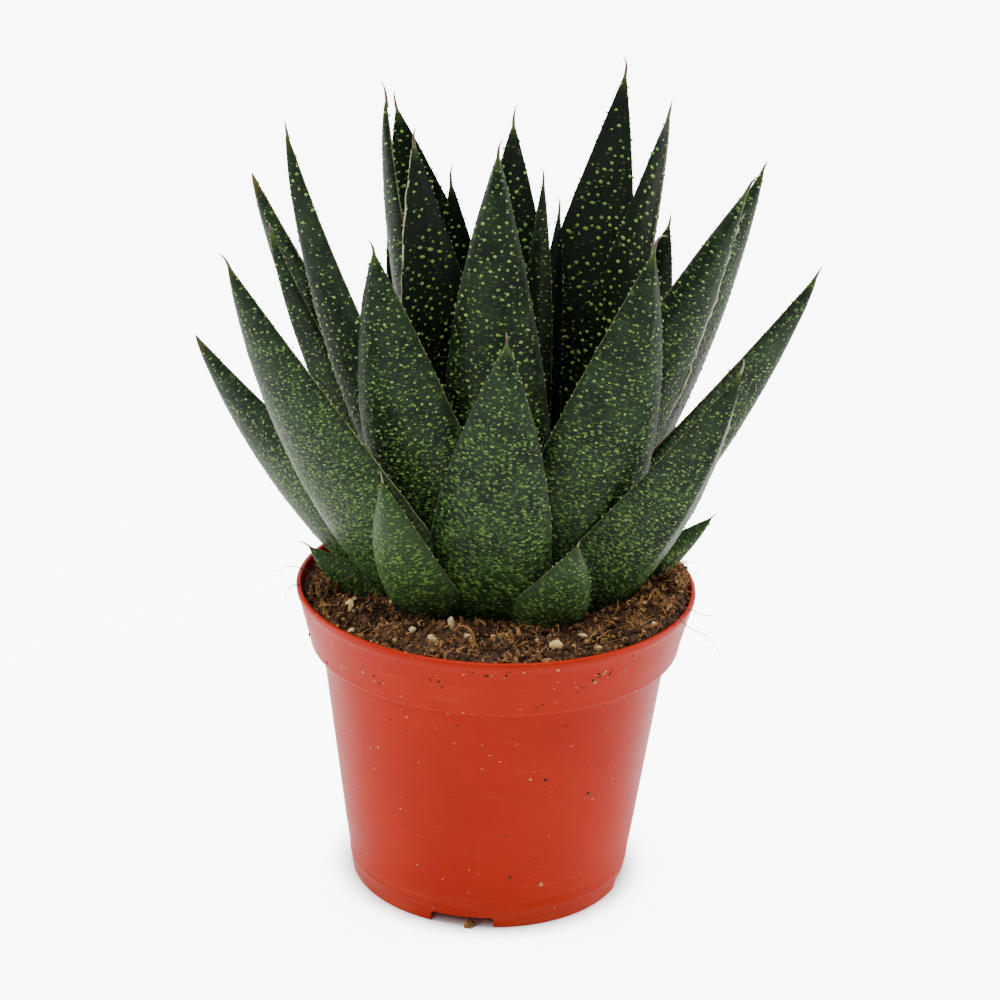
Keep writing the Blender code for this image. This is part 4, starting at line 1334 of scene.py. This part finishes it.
def makeMix(shape, look):
    soil = earthMaterial("peat", look["dark"], look["light"], look)
    clod = earthMaterial("peatCrumb", look["dark"], look["light"], look, 0.9)
    bark = earthMaterial("bark", look["bark"], look["barkPale"], look, 0.8, 0.45)
    fibre = earthMaterial("coirFibre", look["fibre"], look["fibrePale"], look, 0.6, 0.7, 0.05)
    golden = earthMaterial("goldenFibre", look["bark"], look["fibrePale"], look, 0.6, 0.8, 0.05)
    grit = earthMaterial("paleGrit", look["grit"], look["gritWarm"], look, 0.5, 0.8, 0.12)
    ground = makeGround(shape, soil)
    scatter = buildScatter()
    crumb = lumpShapes("crumbShape", 8, (1.15, 0.8, 0.6), 0.8, 3, plain=True)
    clump = lumpShapes("clumpShape", 8, (1.1, 0.8, 0.6), 0.7, 7)
    long = lumpShapes("chipShape", 6, (1.3, 0.5, 0.28), 0.3, 4)
    pebble = lumpShapes("gritShape", 6, (1.3, 0.8, 0.7), 0.3, 5)
    strand = strandShapes("strandShape", 12, 2.5, 6)
    columns = ("Shapes", "Spacing", "Share", "Small", "Large", "Lift", "Tilt", "Reach", "Seed", "Material")
    kinds = {
        "fineCrumbs": (crumb, 1.05, 0.95, 0.6, 1.9, 0.15, 3.0, 57.6, 11, clod),
        "clods": (clump, 2.2, 0.7, 1.4, 3.6, 0.12, 3.0, 56.9, 12, clod),
        "peatChips": (long, 1.9, 0.7, 1.2, 4.0, 0.16, 0.9, 56.4, 13, clod),
        "barkChips": (long, 3.4, 0.5, 1.2, 3.6, 0.2, 1.2, 56.0, 14, bark),
        "barkCrumbs": (crumb, 1.4, 0.55, 0.5, 1.8, 0.4, 3.0, 56.8, 15, bark),
        "fibres": (strand, 1.55, 0.8, 2.0, 6.0, 0.12, 1.0, 56.2, 16, fibre),
        "goldenFibres": (strand, 2.4, 0.6, 1.6, 4.6, 0.2, 1.3, 56.2, 26, golden),
        "tangleFibres": (strand, 0.82, 1.0, 2.0, 4.6, 0.06, 2.0, 60.0, 27, fibre),
        "tangleGold": (strand, 1.3, 1.0, 1.6, 4.0, 0.08, 2.0, 60.0, 28, golden),
        "tangleCrumbs": (crumb, 1.0, 1.0, 0.5, 1.6, 0.1, 3.0, 60.0, 29, bark),
        "paleGrit": (pebble, 7.5, 0.8, 1.6, 4.4, 0.3, 3.0, 55.0, 17, grit),
        "fineGrit": (pebble, 3.2, 0.35, 0.4, 1.2, 0.55, 3.0, 56.5, 18, grit),
    }
    cores = makeTangles(shape, soil)
    total = len(ground.data.polygons)
    for name, values in kinds.items():
        under = cores if name.startswith("tangle") else ground
        base = addObject(name + "Ground", under.data.copy(), helperBits)
        mesh = spread(base, scatter, name, **dict(zip(columns, values)))
        softShade(mesh, 50)
        total += len(mesh.polygons)
    for old in (crumb, clump, long, pebble, strand):
        for obj in list(old.objects):
            discard(obj)
        bpy.data.collections.remove(old)
    return total


print("potting mix:", makeMix(mixShape, mixLook), "faces")


# loose root hairs over the rim, a crumb that sits in the front notch and dirt that clings to the pot
strayShape = {
    "hairs": [
        [(-55, 3, 94), (-58.5, 1.5, 96.2), (-61.5, 0.5, 97.4), (-64, 0, 97), (-67.5, -0.5, 95.4)],
        [(-57, -8, 93.5), (-59.2, -8.5, 95.4), (-61.3, -9, 94.6), (-62.6, -9.2, 92), (-62.2, -9, 89.5)],
        [(54, -18, 94.5), (57, -19.5, 96), (60, -20.5, 95.2), (62.5, -21, 94.8), (64.5, -21.2, 95.4)],
        [
            (51, -26, 94), (53.5, -27.5, 96.1), (57, -29, 94),
            (61.5, -30, 92.4), (64.8, -30.5, 88.5), (66.4, -30.8, 85.8),
        ],
        [(-20, -49, 93.6), (-12, -52, 94.8), (-4, -53.2, 94.5), (3, -54, 93.9)],
        [(26, -45.5, 94.4), (34, -42.8, 95.6), (41, -37.5, 95.3), (46, -33, 94.6)],
    ],
    "hair": {"radius": 0.2, "full": 1, "thinner": 0.75, "sides": 6},
    "hook": [(-5.6, -45.2, 94), (-6.2, -45, 97), (-7.6, -44.9, 99.2), (-9.8, -45, 99.8),
             (-11.6, -45.2, 98.4)],
    "hooked": {"radius": 0.6, "full": 1.05, "thinner": 0.8, "sides": 8}, "steps": 7,
    "notchCrumb": [
        ((-5.6, -42.3, 0.9), 1.0), ((-4.1, -42.0, 0.8), 0.85), ((-4.9, -41.0, 1.2), 0.9),
        ((-3.0, -41.2, 1.5), 0.7), ((-4.6, -42.8, 0.4), 0.5),
    ],
    "dirt": 110, "dirtTop": 92.5, "dirtDrop": 78, "step": 76.5, "stepGap": 1.2,
    "dirtClusters": [(-1.42, 77.2), (-1.55, 92), (-2.2, 84), (-1, 88), (0.8, 80), (2.6, 86)],
}


def smoothPath(points, steps):
    # a curve through the points, sampled evenly in its parameter
    path = [Vector(p) * mm for p in points]
    ends = [path[0] * 2 - path[1]] + path + [path[-1] * 2 - path[-2]]
    result = []
    for index in range(len(path) - 1):
        a, b, c, d = ends[index:index + 4]
        for step in range(steps):
            t = step / steps
            square, cube = (2 * a - 5 * b + 4 * c - d) * t**2, (3 * b - a - 3 * c + d) * t**3
            result.append(0.5 * ((2 * b) + (c - a) * t + square + cube))
    return result + [path[-1]]


def strayStrand(points, steps, radius, full, thinner, sides):
    path = smoothPath(points, steps)
    return taperedTube(path, [radius * mm * (full - thinner * s) for s in evenShares(len(path))], sides)


def outerRadius(z):
    shape = potShape
    ledge = shape["height"] - shape["rimBand"]
    if z > ledge:
        share = (z - ledge - 1.4) / (shape["rimBand"] - 1.6)
        return shape["rimLowRadius"] + (shape["rimRadius"] - shape["rimLowRadius"]) * share
    widening = shape["wallTopRadius"] - shape["footRadius"] - 1.1
    return shape["footRadius"] + 1.0 + widening * (z - 7) / (ledge - 9)


def makeNotchCrumb(shape, skins):
    # a clot of mix that has come out of the front notch
    luck = random.Random(12)
    for index, skin in enumerate(skins):
        work = bmesh.new()
        for place, size in shape["notchCrumb"][index::len(skins)]:
            place, shift = Vector(place) * mm, Vector((luck.uniform(0, 40), 0, 0))
            for vert in addBall(work, place, size * mm, 2):
                way = vert.co - place
                vert.co += way * 0.5 * noise.noise(way * 1400 + shift)
                vert.co.z = max(vert.co.z, 0.00002)
        mesh = meshFrom(work, f"notchCrumb{index}", skin)
        softShade(mesh)
        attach(addObject(mesh.name, mesh), "root")


def makeDirt(shape, name, skin, count, luck):
    # crumbs of mix that cling to the rim and the wall
    work = bmesh.new()
    for index in range(count):
        turn = luck.uniform(-math.pi, math.pi)
        z = shape["dirtTop"] - shape["dirtDrop"] * luck.random() ** 2.6
        if index % 3 == 0:
            near = luck.choice(shape["dirtClusters"])
            turn, z = near[0] + luck.gauss(0, 0.05), near[1] + luck.gauss(0, 1.1)
        z = min(z, shape["dirtTop"] + 0.1)
        if abs(z - shape["step"]) < shape["stepGap"]:
            z += 2 * shape["stepGap"]
        size = luck.uniform(0.16, 0.42) + 0.45 * luck.random() ** 6
        radius = outerRadius(z) + size * 0.1
        place = Matrix.Translation(Vector((radius * math.cos(turn), radius * math.sin(turn), z)) * mm)
        spin = Matrix.Rotation(turn, 4, "Z") @ Matrix.Rotation(luck.uniform(0, 6), 4, "X")
        swell = Matrix.Diagonal((size * 0.5 * mm, size * luck.uniform(0.7, 1.5) * mm, size * mm, 1))
        bmesh.ops.create_icosphere(work, subdivisions=1, radius=1.0, matrix=place @ spin @ swell)
    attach(addObject(name, meshFrom(work, name, skin)), "root")


def makeStrays(shape, look):
    hair = earthMaterial("rootHair", look["hair"], look["bark"], look, 0.6, 0.5, 0.03)
    hairs = [strayStrand(path, shape["steps"], **shape["hair"]) for path in shape["hairs"]]
    tubesObject("rootHairs", hairs, hair)
    bark = earthMaterial("curledFibre", look["bark"], look["fibrePale"], look, 0.5, 0.6, 0.05)
    tubesObject("curledFibre", [strayStrand(shape["hook"], shape["steps"], **shape["hooked"])], bark)
    makeNotchCrumb(shape, (bark, hair))
    dirt = earthMaterial("dirtCrumb", look["dark"], look["bark"], look, 0.6)
    dust = earthMaterial("paleDust", look["barkPale"], look["gritWarm"], look, 0.6)
    luck = random.Random(41)
    makeDirt(shape, "clingingDirt", dirt, shape["dirt"], luck)
    makeDirt(shape, "clingingDust", dust, shape["dirt"] // 2, luck)


makeStrays(strayShape, mixLook)
print("root hairs and clinging dirt are in place")
